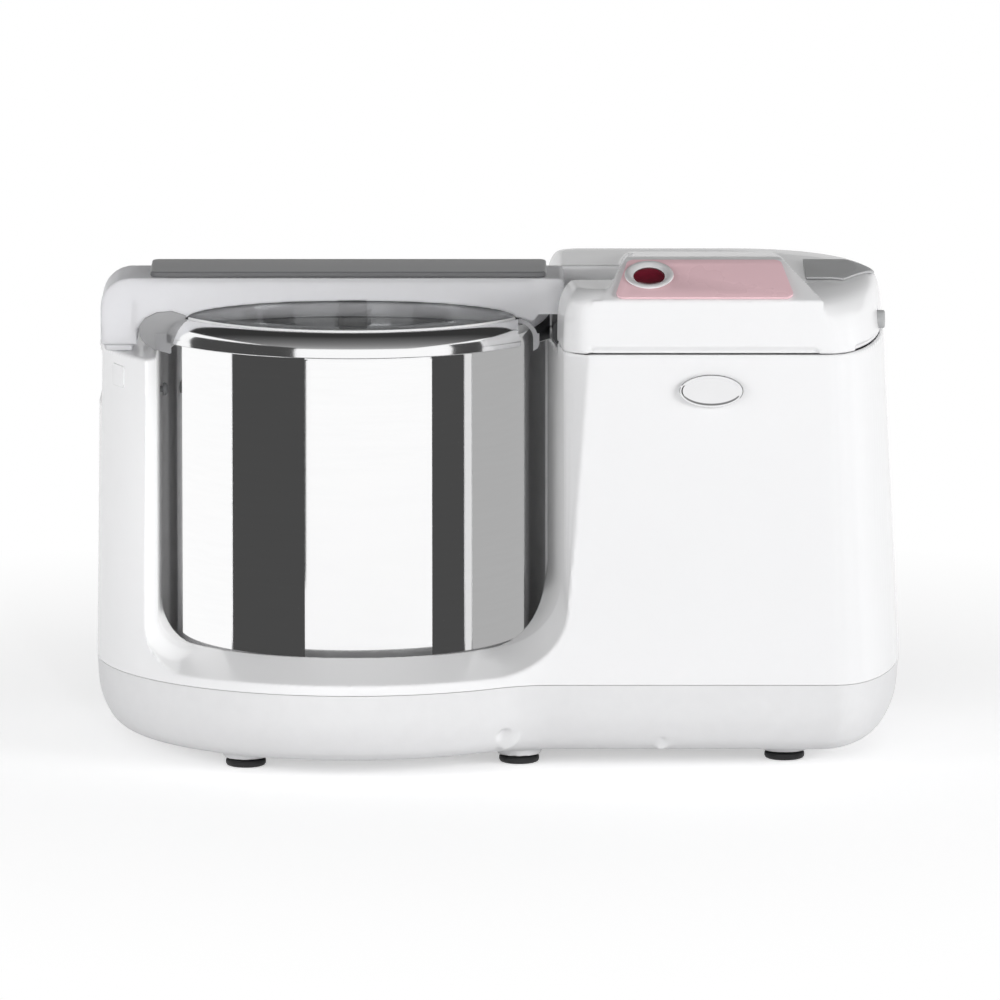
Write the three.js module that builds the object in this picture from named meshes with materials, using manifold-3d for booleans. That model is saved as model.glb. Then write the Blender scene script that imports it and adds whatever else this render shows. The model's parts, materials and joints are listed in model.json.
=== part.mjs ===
// A mini tabletop wet grinder: a steel drum with roller stones under a hinged lid, belt-driven
// by a motor in the tower beside it. Millimetres, +Z up. The model is laid out about the drum's
// axis (x to the right, y to the rear, z up from the table) and centred on its box at the end.
import * as THREE from "three";
import { mergeVertices } from "three/addons/utils/BufferGeometryUtils.js";
import Module from "manifold-3d";

const wasm = await Module();
wasm.setup();

// Walls and clearances
const WALL = 3;
const PAN_WALL = 2.5;
const CAP_WALL = 2.5;
const SEAT_GAP = 0.3; // between touching pieces
const SLIDE_GAP = 0.35; // round a button in its hole
const RUNNING_GAP = 0.6; // between turning and fixed pieces

// Drum and stones
const DRUM_RADIUS = 88.4;
const DRUM_WALL = 1.2;
const DRUM_BOTTOM = 53;
const RIM_FLARE = 6.9;
const RIM_RADIUS = DRUM_RADIUS + RIM_FLARE;
const POST_RADIUS = 12; // column in the middle of the drum
const POST_TOP = DRUM_BOTTOM + 44.2;
const STONE_RADIUS = DRUM_RADIUS - 6.4; // base stone
const STONE_TOP = DRUM_BOTTOM + 17;
const ROLLER_ANGLE = THREE.MathUtils.degToRad(20); // half angle of a roller's cone
const ROLLER_START = 24; // along the cone's axis from its tip
const ROLLER_END = (STONE_RADIUS + 1) * Math.cos(ROLLER_ANGLE);
const AXLE_RADIUS = 5;
const HOLDER_RADIUS = 19;
const HOLDER_TOP = DRUM_BOTTOM + 51;
const HOLDER_POST = 7;

// Plan of the body, from the drum's axis
const WELL_GAP = 7.6; // drum wall to the well's wall
const WELL_RADIUS = DRUM_RADIUS + WELL_GAP;
const PILLAR_DEPTH = 32.5; // well to the round front
const FRONT_RADIUS = WELL_RADIUS + PILLAR_DEPTH; // round front under the drum
const REAR_DEPTH = WELL_RADIUS + 10.5; // drum axis to the rear wall
const TOWER_FRONT = FRONT_RADIUS - 30.9; // drum axis to the tower's flat front
const FACE_BACK_X = WELL_RADIUS + 1.5; // tower's left face where it meets the well
const TOWER_WIDTH = 176;
const TOWER_RIGHT = FACE_BACK_X + TOWER_WIDTH; // drum axis to the end of the bowed right side
const BOW_DEPTH = 33.5; // how far the right side bows out
const REAR_CORNER = 37; // radius of the rear left corner
const BLEND_RADIUS = 50; // hollow blend between round front and tower

// Heights
const FOOT_HEIGHT = 4; // rubber pad
const PAN_BOTTOM = 8;
const WELL_FLOOR = DRUM_BOTTOM - 6; // top of the floor plate under the drum
const SEAM_Z = WELL_FLOOR - 4; // seam between base pan and housing
const SKIRT_TOP = SEAM_Z + 5; // upright strip above the seam
const LIP_Z = DRUM_BOTTOM + 4.3; // front lip of the drum well
const CAP_SEAM_Z = 208.5;
const PILLAR_TOP = CAP_SEAM_Z - 6;
const CAP_TALL = 30.5;
const SHELF_Z = CAP_SEAM_Z + CAP_TALL; // flat top of the tower cap

// Upper body drafts, over its whole height
const DRAFT = { left: 2.2, right: 8.5, front: 0.8, rear: 1.5 };

// Drum well and front opening
const PILLAR_EDGE = WELL_RADIUS + PILLAR_DEPTH * 0.185; // left pillar's front edge
const PILLAR_EDGE_Y = 75; // and in front of the axis
const FACE_TOP_X = FACE_BACK_X + 21; // tower's left edge at the front, top
const FACE_LOW_X = FACE_BACK_X + 9.5; // and low down
const COVE_LEFT = 17; // rounding at the foot of the pillar
const COVE_RIGHT = 33; // and at the foot of the tower
const OPENING_BACK = 10; // the opening's cheeks end this far in front of the axis

// Feet and screws under the base, from the drum's axis
const FOOT_RADIUS = 10;
const FOOT_STEM = 3.5;
const FRONT_FOOT = FRONT_RADIUS - 33; // the front left foot's distance from the axis
const FEET = [
  [-0.55 * FRONT_FOOT, -0.837 * FRONT_FOOT],
  [83, 27.6 - TOWER_FRONT],
  [TOWER_RIGHT - 58.5, 37.6 - TOWER_FRONT],
  [-0.55 * FRONT_FOOT, REAR_DEPTH - 36],
  [83, REAR_DEPTH - 36],
  [TOWER_RIGHT - 58.5, REAR_DEPTH - 44],
];
const SCREW_HEAD = 3.9;
const SCREW_SHANK = 1.5;
const SCREW_BOSS = 5;
const WELL_SCREW = (WELL_RADIUS - 2) / Math.SQRT2;
const WELL_SCREWS = [
  [-WELL_SCREW, -WELL_SCREW],
  [-WELL_SCREW, WELL_SCREW],
];
const TOWER_SCREWS = [
  [TOWER_RIGHT - 27.5, -46],
  [TOWER_RIGHT - 27.5, 46],
];

// Lid
const LID_WALL = 2;
const LID_RADIUS = RIM_RADIUS + 10.2; // outside of the skirt
const LID_SKIRT_Z = CAP_SEAM_Z - 1.2;
const LID_SHOULDER_Z = LID_SKIRT_Z + 11.9;
const LID_TURN = 9; // width of the skirt's round shoulder
const LID_BEND_Z = LID_SKIRT_Z + 2.2; // the shoulder starts here
const LID_CROWN = LID_RADIUS - LID_TURN - 1.5; // radius of the dome inside the shoulder
const LID_DOME = 10; // rise of the clear dome over its shoulder
const LID_HOLE = 22;
const LID_REAR_END = 78; // clear lid ends here behind the arm, clear of the cap
const LID_CHEEK_TRIM = 22; // in front of the arm it ends this far short of the cap's cheek
const DRUM_RIM_Z = LID_SHOULDER_Z - LID_WALL - 0.8;
const HINGE_X = FACE_BACK_X + 10;
const HINGE_Z = CAP_SEAM_Z + 3.7;
const BARREL_RADIUS = 8.2;
const PIN_RADIUS = 2.5;
const ARM_FRONT = TOWER_FRONT - 47.6;
const ARM_REAR = 4;
const ARM_LEFT = FRONT_RADIUS - 4;
const ARM_LEG = LID_RADIUS + 1; // inner side of the left leg
const ARM_RISE = 30.9;
const ARM_TOP = CAP_SEAM_Z + ARM_RISE;
const ARM_CORNER = 15;
const ARM_WALL = 2.5;
const ARM_RIGHT = HINGE_X - 2;
const SHOULDER_LEFT = HINGE_X - 15;
const LEG_RECESS = 3.5; // shadow gap between the leg and the pillar
const STRIP_THICK = 3.3;
const STRIP_LEFT = ARM_LEFT - 24.5;
const STRIP_RIGHT = HINGE_X - 11;

// Tower cap
const CAP_LEFT_REAR = FACE_BACK_X - 0.2;
const CAP_LEFT_FRONT = CAP_LEFT_REAR + 7.2;
const CAP_CORNER = 13.5;
const CHANNEL_RIGHT = HINGE_X + 32; // end of the pocket that takes the opened arm
const CHANNEL_FLOOR = HINGE_Z - 0.4;
const CHANNEL_GAP = 1.2; // either side of the arm
const GROOVE_TALL = 2.8; // finger groove along the cap's lower edge
const GROOVE_DEEP = 1.5;

// Control console: a slanted plateau on the cap, narrower behind
const CONSOLE_LEFT = FACE_TOP_X + 0.5;
const CONSOLE_RIGHT = TOWER_RIGHT - 40.5;
const CONSOLE_FRONT_Y = 1.2 - TOWER_FRONT;
const CONSOLE_FRONT_Z = SHELF_Z - 4.2;
const CONSOLE_CREST_Y = CONSOLE_FRONT_Y + 33.4;
const CONSOLE_CREST_Z = SHELF_Z + 11.7;
const CONSOLE_REAR_Y = 45;
const PANEL_THICK = 1.2;
const PANEL_MARGIN = 13.7; // console's side to the panel's front corner
const BUTTON_X = CONSOLE_LEFT + 28;
const BUTTON_UP_SLOPE = 20.3;
const RING_RADIUS = 11.6;
const BUTTON_RADIUS = 8.5;

// Drive
const PULLEY_RADIUS = DRUM_RADIUS - 10.4;
const PULLEY_Z = 14;
const PULLEY_THICK = 10;
const SPINDLE_RADIUS = 6;
const BEARING_RADIUS = 14;
const BEARING_THICK = 9;
const MOTOR_X = FACE_BACK_X + TOWER_WIDTH / 2 - 3.5;
const MOTOR_PULLEY = 10;
const MOTOR_SHAFT = 4;
const BELT_THICK = 3;
const BELT_WIDTH = 8;
const STATOR_RADIUS = 46;
const STATOR_BORE = STATOR_RADIUS - 20;
const STATOR_Z = WELL_FLOOR + 25;
const STATOR_TALL = 42;
const ROTOR_RADIUS = STATOR_BORE - 0.7;
const BELL_TALL = 19;
const FAN_RADIUS = 38;
const MOTOR_PLATE_Z = WELL_FLOOR;
const MOTOR_PLATE_WIDTH = TOWER_WIDTH - 66; // between the tower's screw bosses
const MOTOR_PLATE_DEPTH = 150;
const MOTOR_PLATE_CORNER = 10;

// Small parts
const LATCH_WIDTH = 14;
const LATCH_TALL = 11;
const LATCH_Z = PILLAR_TOP - 11.5;
const PILLAR_TURN = Math.acos(PILLAR_EDGE / FRONT_RADIUS); // from the side to its front edge
const LATCH_ANGLE = Math.PI + PILLAR_TURN * 0.64;
const LATCH_TRAVEL = 2;
const RESET_RADIUS = 4.5;
const RESET_Y = -36;
const RESET_Z = CAP_SEAM_Z + 8.5;
const RESET_TRAVEL = 2;
const BUMPER_RADIUS = 3.3;
const BUMPER_ANGLE = THREE.MathUtils.degToRad(183);
const BUMPER_Z = PILLAR_TOP - 25.5;
const PLATE_WIDTH = 32;
const PLATE_TALL = 16.5;
const PLATE_X = FACE_TOP_X + 59;
const PLATE_Z = CAP_SEAM_Z - 18;
const CAPACITOR_RADIUS = 17.5;
const CAPACITOR_TALL = 68;
const GROMMET_RADIUS = 8;
const GROMMET_X = MOTOR_X + 23;
const GROMMET_Z = 66;
const GROMMET_PROUD = 2.8;

// Finishes
const finish = (color, roughness, metalness = 0, extra = {}) =>
  new THREE.MeshStandardMaterial({ color, roughness, metalness, ...extra });
const glossWhite = finish(0xf4f4f5, 0.25);
const panWhite = finish(0xe9e9ea, 0.5);
const rubberBlack = finish(0x18181a, 0.85);
const gripGrey = finish(0x6d6e70, 0.5);
const padGrey = finish(0x808385, 0.45);
const frostClear = finish(0xdedde6, 0.3, 0, { transparent: true, opacity: 0.7 });
const lidClear = finish(0xdadbe0, 0.08, 0, { transparent: true, opacity: 0.35 });
const panelPink = finish(0xcdafb4, 0.3);
const buttonRed = finish(0x5a1018, 0.2);
const chrome = finish(0xd8d8da, 0.08, 1);
const polishedSteel = finish(0xc9cacc, 0.12, 1);
const plainSteel = finish(0x9b9da0, 0.35, 1);
const castAluminium = finish(0xa4a7aa, 0.5, 0.9);
const granite = finish(0x4c4c4e, 0.7);
const blackPlastic = finish(0x26272a, 0.5);
const nylonWhite = finish(0xdcdcd6, 0.5);
const copper = finish(0xa2592c, 0.4, 1);
const lamination = finish(0x5b5e63, 0.5, 0.8);

// Closed solids: a geometry with shared vertices, its faces turned outwards
function facingOut(geometry) {
  const bare = geometry.index ? geometry.toNonIndexed() : geometry.clone();
  for (const name of Object.keys(bare.attributes)) {
    if (name !== "position") bare.deleteAttribute(name);
  }
  const merged = mergeVertices(bare, 1e-4);
  const p = merged.attributes.position;
  const index = merged.index.array;
  const a = new THREE.Vector3();
  const b = new THREE.Vector3();
  const c = new THREE.Vector3();
  let volume = 0;
  for (let i = 0; i < index.length; i += 3) {
    a.fromBufferAttribute(p, index[i]);
    b.fromBufferAttribute(p, index[i + 1]);
    c.fromBufferAttribute(p, index[i + 2]);
    volume += a.dot(b.cross(c));
  }
  if (volume < 0) {
    for (let i = 0; i < index.length; i += 3) {
      const kept = index[i];
      index[i] = index[i + 1];
      index[i + 1] = kept;
    }
  }
  return merged;
}

function toSolid(geometry) {
  const closed = facingOut(geometry);
  return new wasm.Manifold(
    new wasm.Mesh({
      numProp: 3,
      vertProperties: closed.attributes.position.array,
      triVerts: new Uint32Array(closed.index.array),
    }),
  );
}

function fromSolid(made) {
  const mesh = made.getMesh();
  const geometry = new THREE.BufferGeometry();
  const positions = new Float32Array(mesh.numVert * 3);
  for (let i = 0; i < mesh.numVert; i++) {
    positions.set(mesh.vertProperties.subarray(i * mesh.numProp, i * mesh.numProp + 3), i * 3);
  }
  geometry.setAttribute("position", new THREE.BufferAttribute(positions, 3));
  geometry.setIndex(new THREE.BufferAttribute(new Uint32Array(mesh.triVerts), 1));
  return geometry;
}

const fold = (verb) => (first, ...others) =>
  fromSolid(others.reduce((sum, next) => sum[verb](toSolid(next)), toSolid(first)));
const join = fold("add");
const cut = fold("subtract");
const common = fold("intersect");

// Plain forms, all standing on +Z
function cylinder(radius, low, high, x = 0, y = 0, sides = 24) {
  return new THREE.CylinderGeometry(radius, radius, high - low, sides)
    .rotateX(Math.PI / 2)
    .translate(x, y, (low + high) / 2);
}

function rod(radius, from, to, sides = 20) {
  const axis = new THREE.Vector3().subVectors(to, from);
  const turn = new THREE.Quaternion().setFromUnitVectors(
    new THREE.Vector3(0, 1, 0),
    axis.clone().normalize(),
  );
  const middle = new THREE.Vector3().addVectors(from, to).multiplyScalar(0.5);
  return new THREE.CylinderGeometry(radius, radius, axis.length(), sides)
    .applyQuaternion(turn)
    .translate(middle.x, middle.y, middle.z);
}

function box(x0, x1, y0, y1, z0, z1) {
  return new THREE.BoxGeometry(x1 - x0, y1 - y0, z1 - z0).translate(
    (x0 + x1) / 2,
    (y0 + y1) / 2,
    (z0 + z1) / 2,
  );
}

// A profile of [radius, height] pairs turned about the Z axis
function turned(profile, sides = 32, closed = true) {
  const points = profile.map(([r, z]) => new THREE.Vector2(r, z));
  const onAxis = profile[0][0] === 0 && profile[profile.length - 1][0] === 0;
  if (closed && !onAxis) points.push(points[0].clone());
  return new THREE.LatheGeometry(points, sides).rotateX(Math.PI / 2);
}

function ring(inner, outer, low, high, x = 0, y = 0, sides = 22) {
  const profile = [
    [inner, low],
    [outer, low],
    [outer, high],
    [inner, high],
  ];
  return turned(profile, sides).translate(x, y, 0);
}

// A closed loft through sections that have as many points each, its ends fanned from their middles
function loft(sections) {
  const count = sections[0].length;
  const positions = [];
  for (const section of sections) {
    for (const p of section) positions.push(p.x, p.y, p.z);
  }
  const index = [];
  for (let s = 0; s + 1 < sections.length; s++) {
    for (let i = 0; i < count; i++) {
      const j = (i + 1) % count;
      const low = s * count;
      const high = low + count;
      index.push(low + i, low + j, high + j, low + i, high + j, high + i);
    }
  }
  const last = (sections.length - 1) * count;
  for (const section of [sections[0], sections[sections.length - 1]]) {
    const middle = new THREE.Vector3();
    for (const p of section) middle.addScaledVector(p, 1 / count);
    positions.push(middle.x, middle.y, middle.z);
  }
  for (let i = 0; i < count; i++) {
    const j = (i + 1) % count;
    index.push(last + count, j, i, last + count + 1, last + i, last + j);
  }
  const geometry = new THREE.BufferGeometry();
  geometry.setAttribute("position", new THREE.Float32BufferAttribute(positions, 3));
  geometry.setIndex(index);
  return geometry;
}

function arc(cx, cy, radius, from, to, steps) {
  const points = [];
  for (let i = 0; i <= steps; i++) {
    const angle = THREE.MathUtils.degToRad(from + ((to - from) * i) / steps);
    points.push(new THREE.Vector2(cx + radius * Math.cos(angle), cy + radius * Math.sin(angle)));
  }
  return points;
}

function ellipseArc(cx, cy, a, b, from, to, steps) {
  return arc(0, 0, 1, from, to, steps).map((p) => new THREE.Vector2(cx + a * p.x, cy + b * p.y));
}

function prism(points, low, high) {
  return new THREE.ExtrudeGeometry(new THREE.Shape(points), {
    depth: high - low,
    bevelEnabled: false,
  }).translate(0, 0, low);
}

// A shape drawn in x and z, pushed from y0 to y1
function prismAlongY(points, y0, y1) {
  return new THREE.ExtrudeGeometry(new THREE.Shape(points), {
    depth: y1 - y0,
    bevelEnabled: false,
  })
    .rotateX(Math.PI / 2)
    .translate(0, y1, 0);
}

function roundedRect(width, height, radius, steps = 4) {
  const x = width / 2 - radius;
  const y = height / 2 - radius;
  return [
    ...arc(x, y, radius, 0, 90, steps),
    ...arc(-x, y, radius, 90, 180, steps),
    ...arc(-x, -y, radius, 180, 270, steps),
    ...arc(x, -y, radius, 270, 360, steps),
  ];
}

// Plan outline of base and body, drawn in by inset on each side
function bodyOutline({ left, right, front, rear }, z) {
  const radius = FRONT_RADIUS - left;
  const face = TOWER_FRONT - front;
  const back = REAR_DEPTH - rear;
  const blend = BLEND_RADIUS + left;
  const blendX = Math.sqrt((radius + blend) ** 2 - (face + blend) ** 2);
  const blendY = -(face + blend);
  const meeting = THREE.MathUtils.radToDeg(Math.atan2(blendY, blendX));
  const corner = REAR_CORNER - left;
  const bowX = TOWER_RIGHT - BOW_DEPTH - right / 2;
  const bow = BOW_DEPTH - right / 2;
  const points = [
    ...arc(0, 0, radius, 180, 270, 14),
    ...arc(0, 0, radius, 270, 360 + meeting, 6).slice(1),
    ...arc(blendX, blendY, blend, 180 + meeting, 90, 3).slice(1),
    ...ellipseArc(bowX, (back - face) / 2, bow, (back + face) / 2, -90, 90, 12),
    ...arc(-radius + corner, back - corner, corner, 90, 180, 5).slice(0, -1),
  ];
  return points.map((p) => new THREE.Vector3(p.x, p.y, z));
}

const even = (inset) => ({ left: inset, right: inset, front: inset, rear: inset });
const bodyLoft = (levels) => loft(levels.map(([z, inset]) => bodyOutline(inset, z)));

// Base pan
const PAN_ROUNDING = [
  [PAN_BOTTOM, 16],
  [PAN_BOTTOM + 1.6, 11.5],
  [PAN_BOTTOM + 6, 6.8],
  [PAN_BOTTOM + 14, 2.8],
  [PAN_BOTTOM + 22, 0.9],
];

function screwAt(x, y) {
  return { x, y };
}
const screws = [
  ...WELL_SCREWS.map(([x, y]) => screwAt(x, y)),
  ...TOWER_SCREWS.map(([x, y]) => screwAt(x, y)),
];
const SCREW_SEAT = PAN_BOTTOM + 5;
const PLATE_POSTS = [
  [MOTOR_X - 34, -60],
  [MOTOR_X + 34, -60],
  [MOTOR_X - 34, 60],
  [MOTOR_X + 34, 60],
];

function basePan() {
  const outer = bodyLoft([
    ...PAN_ROUNDING.map(([z, inset]) => [z, even(inset)]),
    [SEAM_Z, even(0)],
  ]);
  const floor = PAN_BOTTOM + PAN_WALL;
  const inner = bodyLoft([
    [floor, even(PAN_ROUNDING[1][1] + PAN_WALL)],
    ...PAN_ROUNDING.slice(2).map(([z, inset]) => [z, even(inset + PAN_WALL)]),
    [SEAM_Z + 1, even(PAN_WALL)],
  ]);
  const posts = [
    ...FEET.map(([x, y]) => cylinder(FOOT_RADIUS + 1.5, FOOT_HEIGHT, floor + 2.5, x, y, 16)),
    ...screws.map(({ x, y }) => cylinder(SCREW_BOSS, PAN_BOTTOM + 1, SEAM_Z, x, y, 8)),
    ...PLATE_POSTS.map(([x, y]) =>
      cylinder(SCREW_BOSS, PAN_BOTTOM + 1, MOTOR_PLATE_Z - WALL - SEAT_GAP, x, y, 8),
    ),
  ];
  const holes = [
    ...FEET.map(([x, y]) =>
      cylinder(FOOT_STEM + 2 * SEAT_GAP, FOOT_HEIGHT - 1, floor + 3, x, y, 8),
    ),
    ...screws.map(({ x, y }) => cylinder(SCREW_SHANK + SEAT_GAP, 0, SEAM_Z + 1, x, y, 8)),
    ...screws.map(({ x, y }) =>
      cylinder(SCREW_HEAD + SEAT_GAP, 0, SCREW_SEAT, x, y, 12),
    ),
  ];
  for (let i = 0; i < 5; i++) {
    const x = MOTOR_X - 24 + i * 12;
    holes.push(box(x - 2, x + 2, -30, 30, 0, floor + 1));
  }
  const holeAt = (x, z, radius, sides) =>
    rod(
      radius,
      new THREE.Vector3(x, -FRONT_RADIUS, z),
      new THREE.Vector3(x, 12 - TOWER_FRONT, z),
      sides,
    );
  const drain = holeAt(DRUM_RADIUS - 12.4, PAN_BOTTOM + 9.5, 4.2, 16);
  const weep = holeAt(MOTOR_X - 28.5, PAN_BOTTOM + 6, 2, 10);
  return cut(join(cut(outer, inner), ...posts), ...holes, drain, weep);
}

function foot() {
  const profile = [
    [0, 0],
    [FOOT_RADIUS - 1, 0],
    [FOOT_RADIUS, 0.8],
    [FOOT_RADIUS, FOOT_HEIGHT - 0.8 - SEAT_GAP],
    [FOOT_RADIUS - 0.6, FOOT_HEIGHT - SEAT_GAP],
    [FOOT_STEM, FOOT_HEIGHT - SEAT_GAP],
    [FOOT_STEM, PAN_BOTTOM + PAN_WALL + 2.5],
    [0, PAN_BOTTOM + PAN_WALL + 2.5],
  ];
  return turned(profile, 16);
}

function baseScrew() {
  const head = SCREW_SEAT - SEAT_GAP;
  const profile = [
    [0, head - 2.6],
    [SCREW_HEAD - 0.8, head - 2.6],
    [SCREW_HEAD, head - 1.6],
    [SCREW_HEAD, head],
    [SCREW_SHANK, head],
    [SCREW_SHANK, SEAM_Z + 7],
    [0, SEAM_Z + 7],
  ];
  return turned(profile, 10);
}

// Main housing: one moulded shell with the drum well, the left pillar and the tower
const coneSlope = (LIP_Z - SKIRT_TOP) / (FRONT_RADIUS - WELL_RADIUS);
const ledgeZ = (radius) => LIP_Z - coneSlope * Math.max(0, radius - WELL_RADIUS);
const mix = THREE.MathUtils.lerp;

// Front view of the opening before the drum, at depth y, drawn in or out by grow
function openingSection(y, grow) {
  const share = THREE.MathUtils.clamp((-y - OPENING_BACK) / (PILLAR_EDGE_Y - OPENING_BACK), 0, 1);
  const deep = THREE.MathUtils.clamp((-y - OPENING_BACK) / (TOWER_FRONT - OPENING_BACK), 0, 1);
  const roundOff = deep > 0.8 ? ((deep - 0.8) / 0.2) ** 2 : 0;
  const left = -mix(WELL_RADIUS, PILLAR_EDGE, share) - grow;
  const topX = mix(FACE_BACK_X, CAP_LEFT_FRONT + 2, deep) + (FACE_TOP_X - CAP_LEFT_FRONT - 2) * roundOff;
  const lowX = mix(FACE_BACK_X, FACE_LOW_X, deep);
  const footLeft = ledgeZ(Math.hypot(left + COVE_LEFT, y)) - grow;
  const footRight = ledgeZ(Math.hypot(lowX - COVE_RIGHT, y)) - grow;
  const coveLeft = COVE_LEFT;
  const coveRight = COVE_RIGHT;
  const corner = [
    ...arc(left + coveLeft, footLeft + coveLeft, coveLeft, 180, 270, 5),
    new THREE.Vector2(left + coveLeft + 6, SEAM_Z - 6),
    new THREE.Vector2(lowX + grow - coveRight - 6, SEAM_Z - 6),
    ...arc(lowX + grow - coveRight, footRight + coveRight, coveRight, 270, 360, 7),
    new THREE.Vector2(topX + grow, CAP_SEAM_Z),
    new THREE.Vector2(topX + grow, SHELF_Z + 30),
    new THREE.Vector2(left, SHELF_Z + 30),
  ];
  return corner.map((p) => new THREE.Vector3(p.x, y, p.y));
}

function opening(grow) {
  const depths = [
    -FRONT_RADIUS - 12,
    -TOWER_FRONT,
    -TOWER_FRONT + 5,
    -TOWER_FRONT + 11,
    -PILLAR_EDGE_Y + 4,
    -PILLAR_EDGE_Y / 2,
    -OPENING_BACK,
    0,
  ];
  const cheeks = loft(depths.map((y) => openingSection(y, grow)));
  const reach = FRONT_RADIUS + 30;
  const above = turned(
    [
      [0, LIP_Z - grow],
      [WELL_RADIUS - grow, LIP_Z - grow],
      [reach, ledgeZ(reach) - grow],
      [reach, SHELF_Z + 40],
      [0, SHELF_Z + 40],
    ],
    44,
  );
  return common(cheeks, above);
}

// Slots and holes that the shell carries
const GRIP = {
  y0: -19,
  y1: 55,
  z0: PILLAR_TOP - 30.5,
  z1: PILLAR_TOP - 4.5,
  depth: PILLAR_DEPTH * 0.37,
};
const grip = (grow) =>
  box(
    -FRONT_RADIUS - 20,
    -FRONT_RADIUS + GRIP.depth + grow,
    GRIP.y0 - grow,
    GRIP.y1 + grow,
    GRIP.z0 - grow,
    GRIP.z1 + grow,
  );

const hingePocket = (grow) =>
  box(
    HINGE_X - BARREL_RADIUS - 12,
    HINGE_X + BARREL_RADIUS + RUNNING_GAP + grow,
    -ARM_FRONT - CHANNEL_GAP - grow,
    -ARM_REAR + CHANNEL_GAP + grow,
    HINGE_Z - BARREL_RADIUS - RUNNING_GAP - grow,
    SHELF_Z + 30,
  );

function mainHousing() {
  const low = SEAM_Z + SEAT_GAP;
  const outer = bodyLoft([
    [low, even(0)],
    [SKIRT_TOP, even(0)],
    [CAP_SEAM_Z - SEAT_GAP, DRAFT],
  ]);
  const thick = Object.fromEntries(Object.entries(DRAFT).map(([k, v]) => [k, v + WALL]));
  const inner = bodyLoft([
    [low - 1, even(WALL)],
    [SKIRT_TOP, even(WALL)],
    [CAP_SEAM_Z + 1, thick],
  ]);
  const over = SHELF_Z + 20;
  const left = -FRONT_RADIUS - 10;
  const back = REAR_DEPTH + 10;
  const steppedTop = box(left, FACE_BACK_X - 0.5, left, back, PILLAR_TOP, over);
  const lowTop = box(left, FACE_BACK_X - 0.5 + WALL, left, back, PILLAR_TOP - WALL, over);
  const wellOutside = cylinder(WELL_RADIUS + WALL, low + 0.7, over, 0, 0, 44);
  const well = cylinder(WELL_RADIUS, WELL_FLOOR, over, 0, 0, 44);
  const cavity = cut(inner, wellOutside, opening(WALL), lowTop, grip(WALL), hingePocket(WALL));
  const shell = cut(outer, cavity, steppedTop, well, opening(0), grip(0), hingePocket(0));
  const bosses = TOWER_SCREWS.map(([x, y]) => {
    const boss = cylinder(SCREW_BOSS, low, SKIRT_TOP + 8, x, y, 10);
    const web = box(x, TOWER_RIGHT, y - 1.5, y + 1.5, low, SKIRT_TOP + 6);
    return join(boss, common(web, outer));
  });
  const wellBosses = WELL_SCREWS.map(([x, y]) =>
    cylinder(SCREW_BOSS - 0.5, low, WELL_FLOOR - 0.5, x, y, 10),
  );
  const holes = [
    ...TOWER_SCREWS.map(([x, y]) =>
      cylinder(SCREW_SHANK + SEAT_GAP, 0, SKIRT_TOP + 9, x, y, 10),
    ),
    ...WELL_SCREWS.map(([x, y]) =>
      cylinder(SCREW_SHANK + SEAT_GAP, 0, WELL_FLOOR + 4, x, y, 10),
    ),
    cylinder(BEARING_RADIUS + 4, 0, WELL_FLOOR + 13, 0, 0, 32),
    latchHole(),
    rod(1.8 + SEAT_GAP, aroundAxis(WELL_RADIUS - 5, BUMPER_ANGLE, BUMPER_Z),
      aroundAxis(WELL_RADIUS + 8, BUMPER_ANGLE, BUMPER_Z), 12),
    rod(GROMMET_RADIUS - 2.5 + SEAT_GAP, new THREE.Vector3(GROMMET_X, REAR_DEPTH - 12, GROMMET_Z),
      new THREE.Vector3(GROMMET_X, REAR_DEPTH + 12, GROMMET_Z), 20),
  ];
  for (let i = 0; i < 6; i++) {
    const z = 100 + i * 10;
    holes.push(box(MOTOR_X - 32, MOTOR_X + 32, REAR_DEPTH - 12, REAR_DEPTH + 12, z, z + 3.5));
  }
  return cut(join(shell, ...bosses, ...wellBosses), ...holes);
}

function aroundAxis(radius, angle, z) {
  return new THREE.Vector3(radius * Math.cos(angle), radius * Math.sin(angle), z);
}

// A latch button's hole, square to the pillar's round face
const latchRadius = FRONT_RADIUS - (DRAFT.left * (LATCH_Z - SKIRT_TOP)) / (CAP_SEAM_Z - SKIRT_TOP);

function acrossPillar(points, from, to) {
  return prism(points, from, to)
    .applyMatrix4(
      new THREE.Matrix4().makeBasis(
        new THREE.Vector3(-Math.sin(LATCH_ANGLE), Math.cos(LATCH_ANGLE), 0),
        new THREE.Vector3(0, 0, 1),
        new THREE.Vector3(Math.cos(LATCH_ANGLE), Math.sin(LATCH_ANGLE), 0),
      ),
    )
    .translate(0, 0, LATCH_Z);
}

function latchHole() {
  const shape = roundedRect(LATCH_WIDTH + 2 * SLIDE_GAP, LATCH_TALL + 2 * SLIDE_GAP, 2);
  return acrossPillar(shape, latchRadius - WALL - 2, latchRadius + 5);
}

function latchButton() {
  const cap = acrossPillar(
    roundedRect(LATCH_WIDTH, LATCH_TALL, 1.8),
    latchRadius - WALL - 1.5,
    latchRadius + 0.6,
  );
  const flange = acrossPillar(
    roundedRect(LATCH_WIDTH + 3, LATCH_TALL + 3, 2),
    latchRadius - WALL - LATCH_TRAVEL,
    latchRadius - WALL - 0.9,
  );
  return join(cap, flange);
}

// Tower cap
// Share of its height, and how far each side draws in there; bow: the right end grows rounder
const CAP_ROUNDING = [
  [0, { left: 0, right: 0, front: 0, rear: 0, bow: 0 }],
  [0.43, { left: 0.2, right: 1.6, front: 0.2, rear: 4, bow: 0 }],
  [0.66, { left: 1.2, right: 2.4, front: 0.4, rear: 12, bow: 5 }],
  [0.84, { left: 3, right: 4.2, front: 1.3, rear: 23.5, bow: 17 }],
  [0.95, { left: 5.2, right: 8, front: 6.6, rear: 36, bow: 37 }],
  [1, { left: 7.2, right: 15, front: 12, rear: 49.5, bow: 58 }],
];

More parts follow.
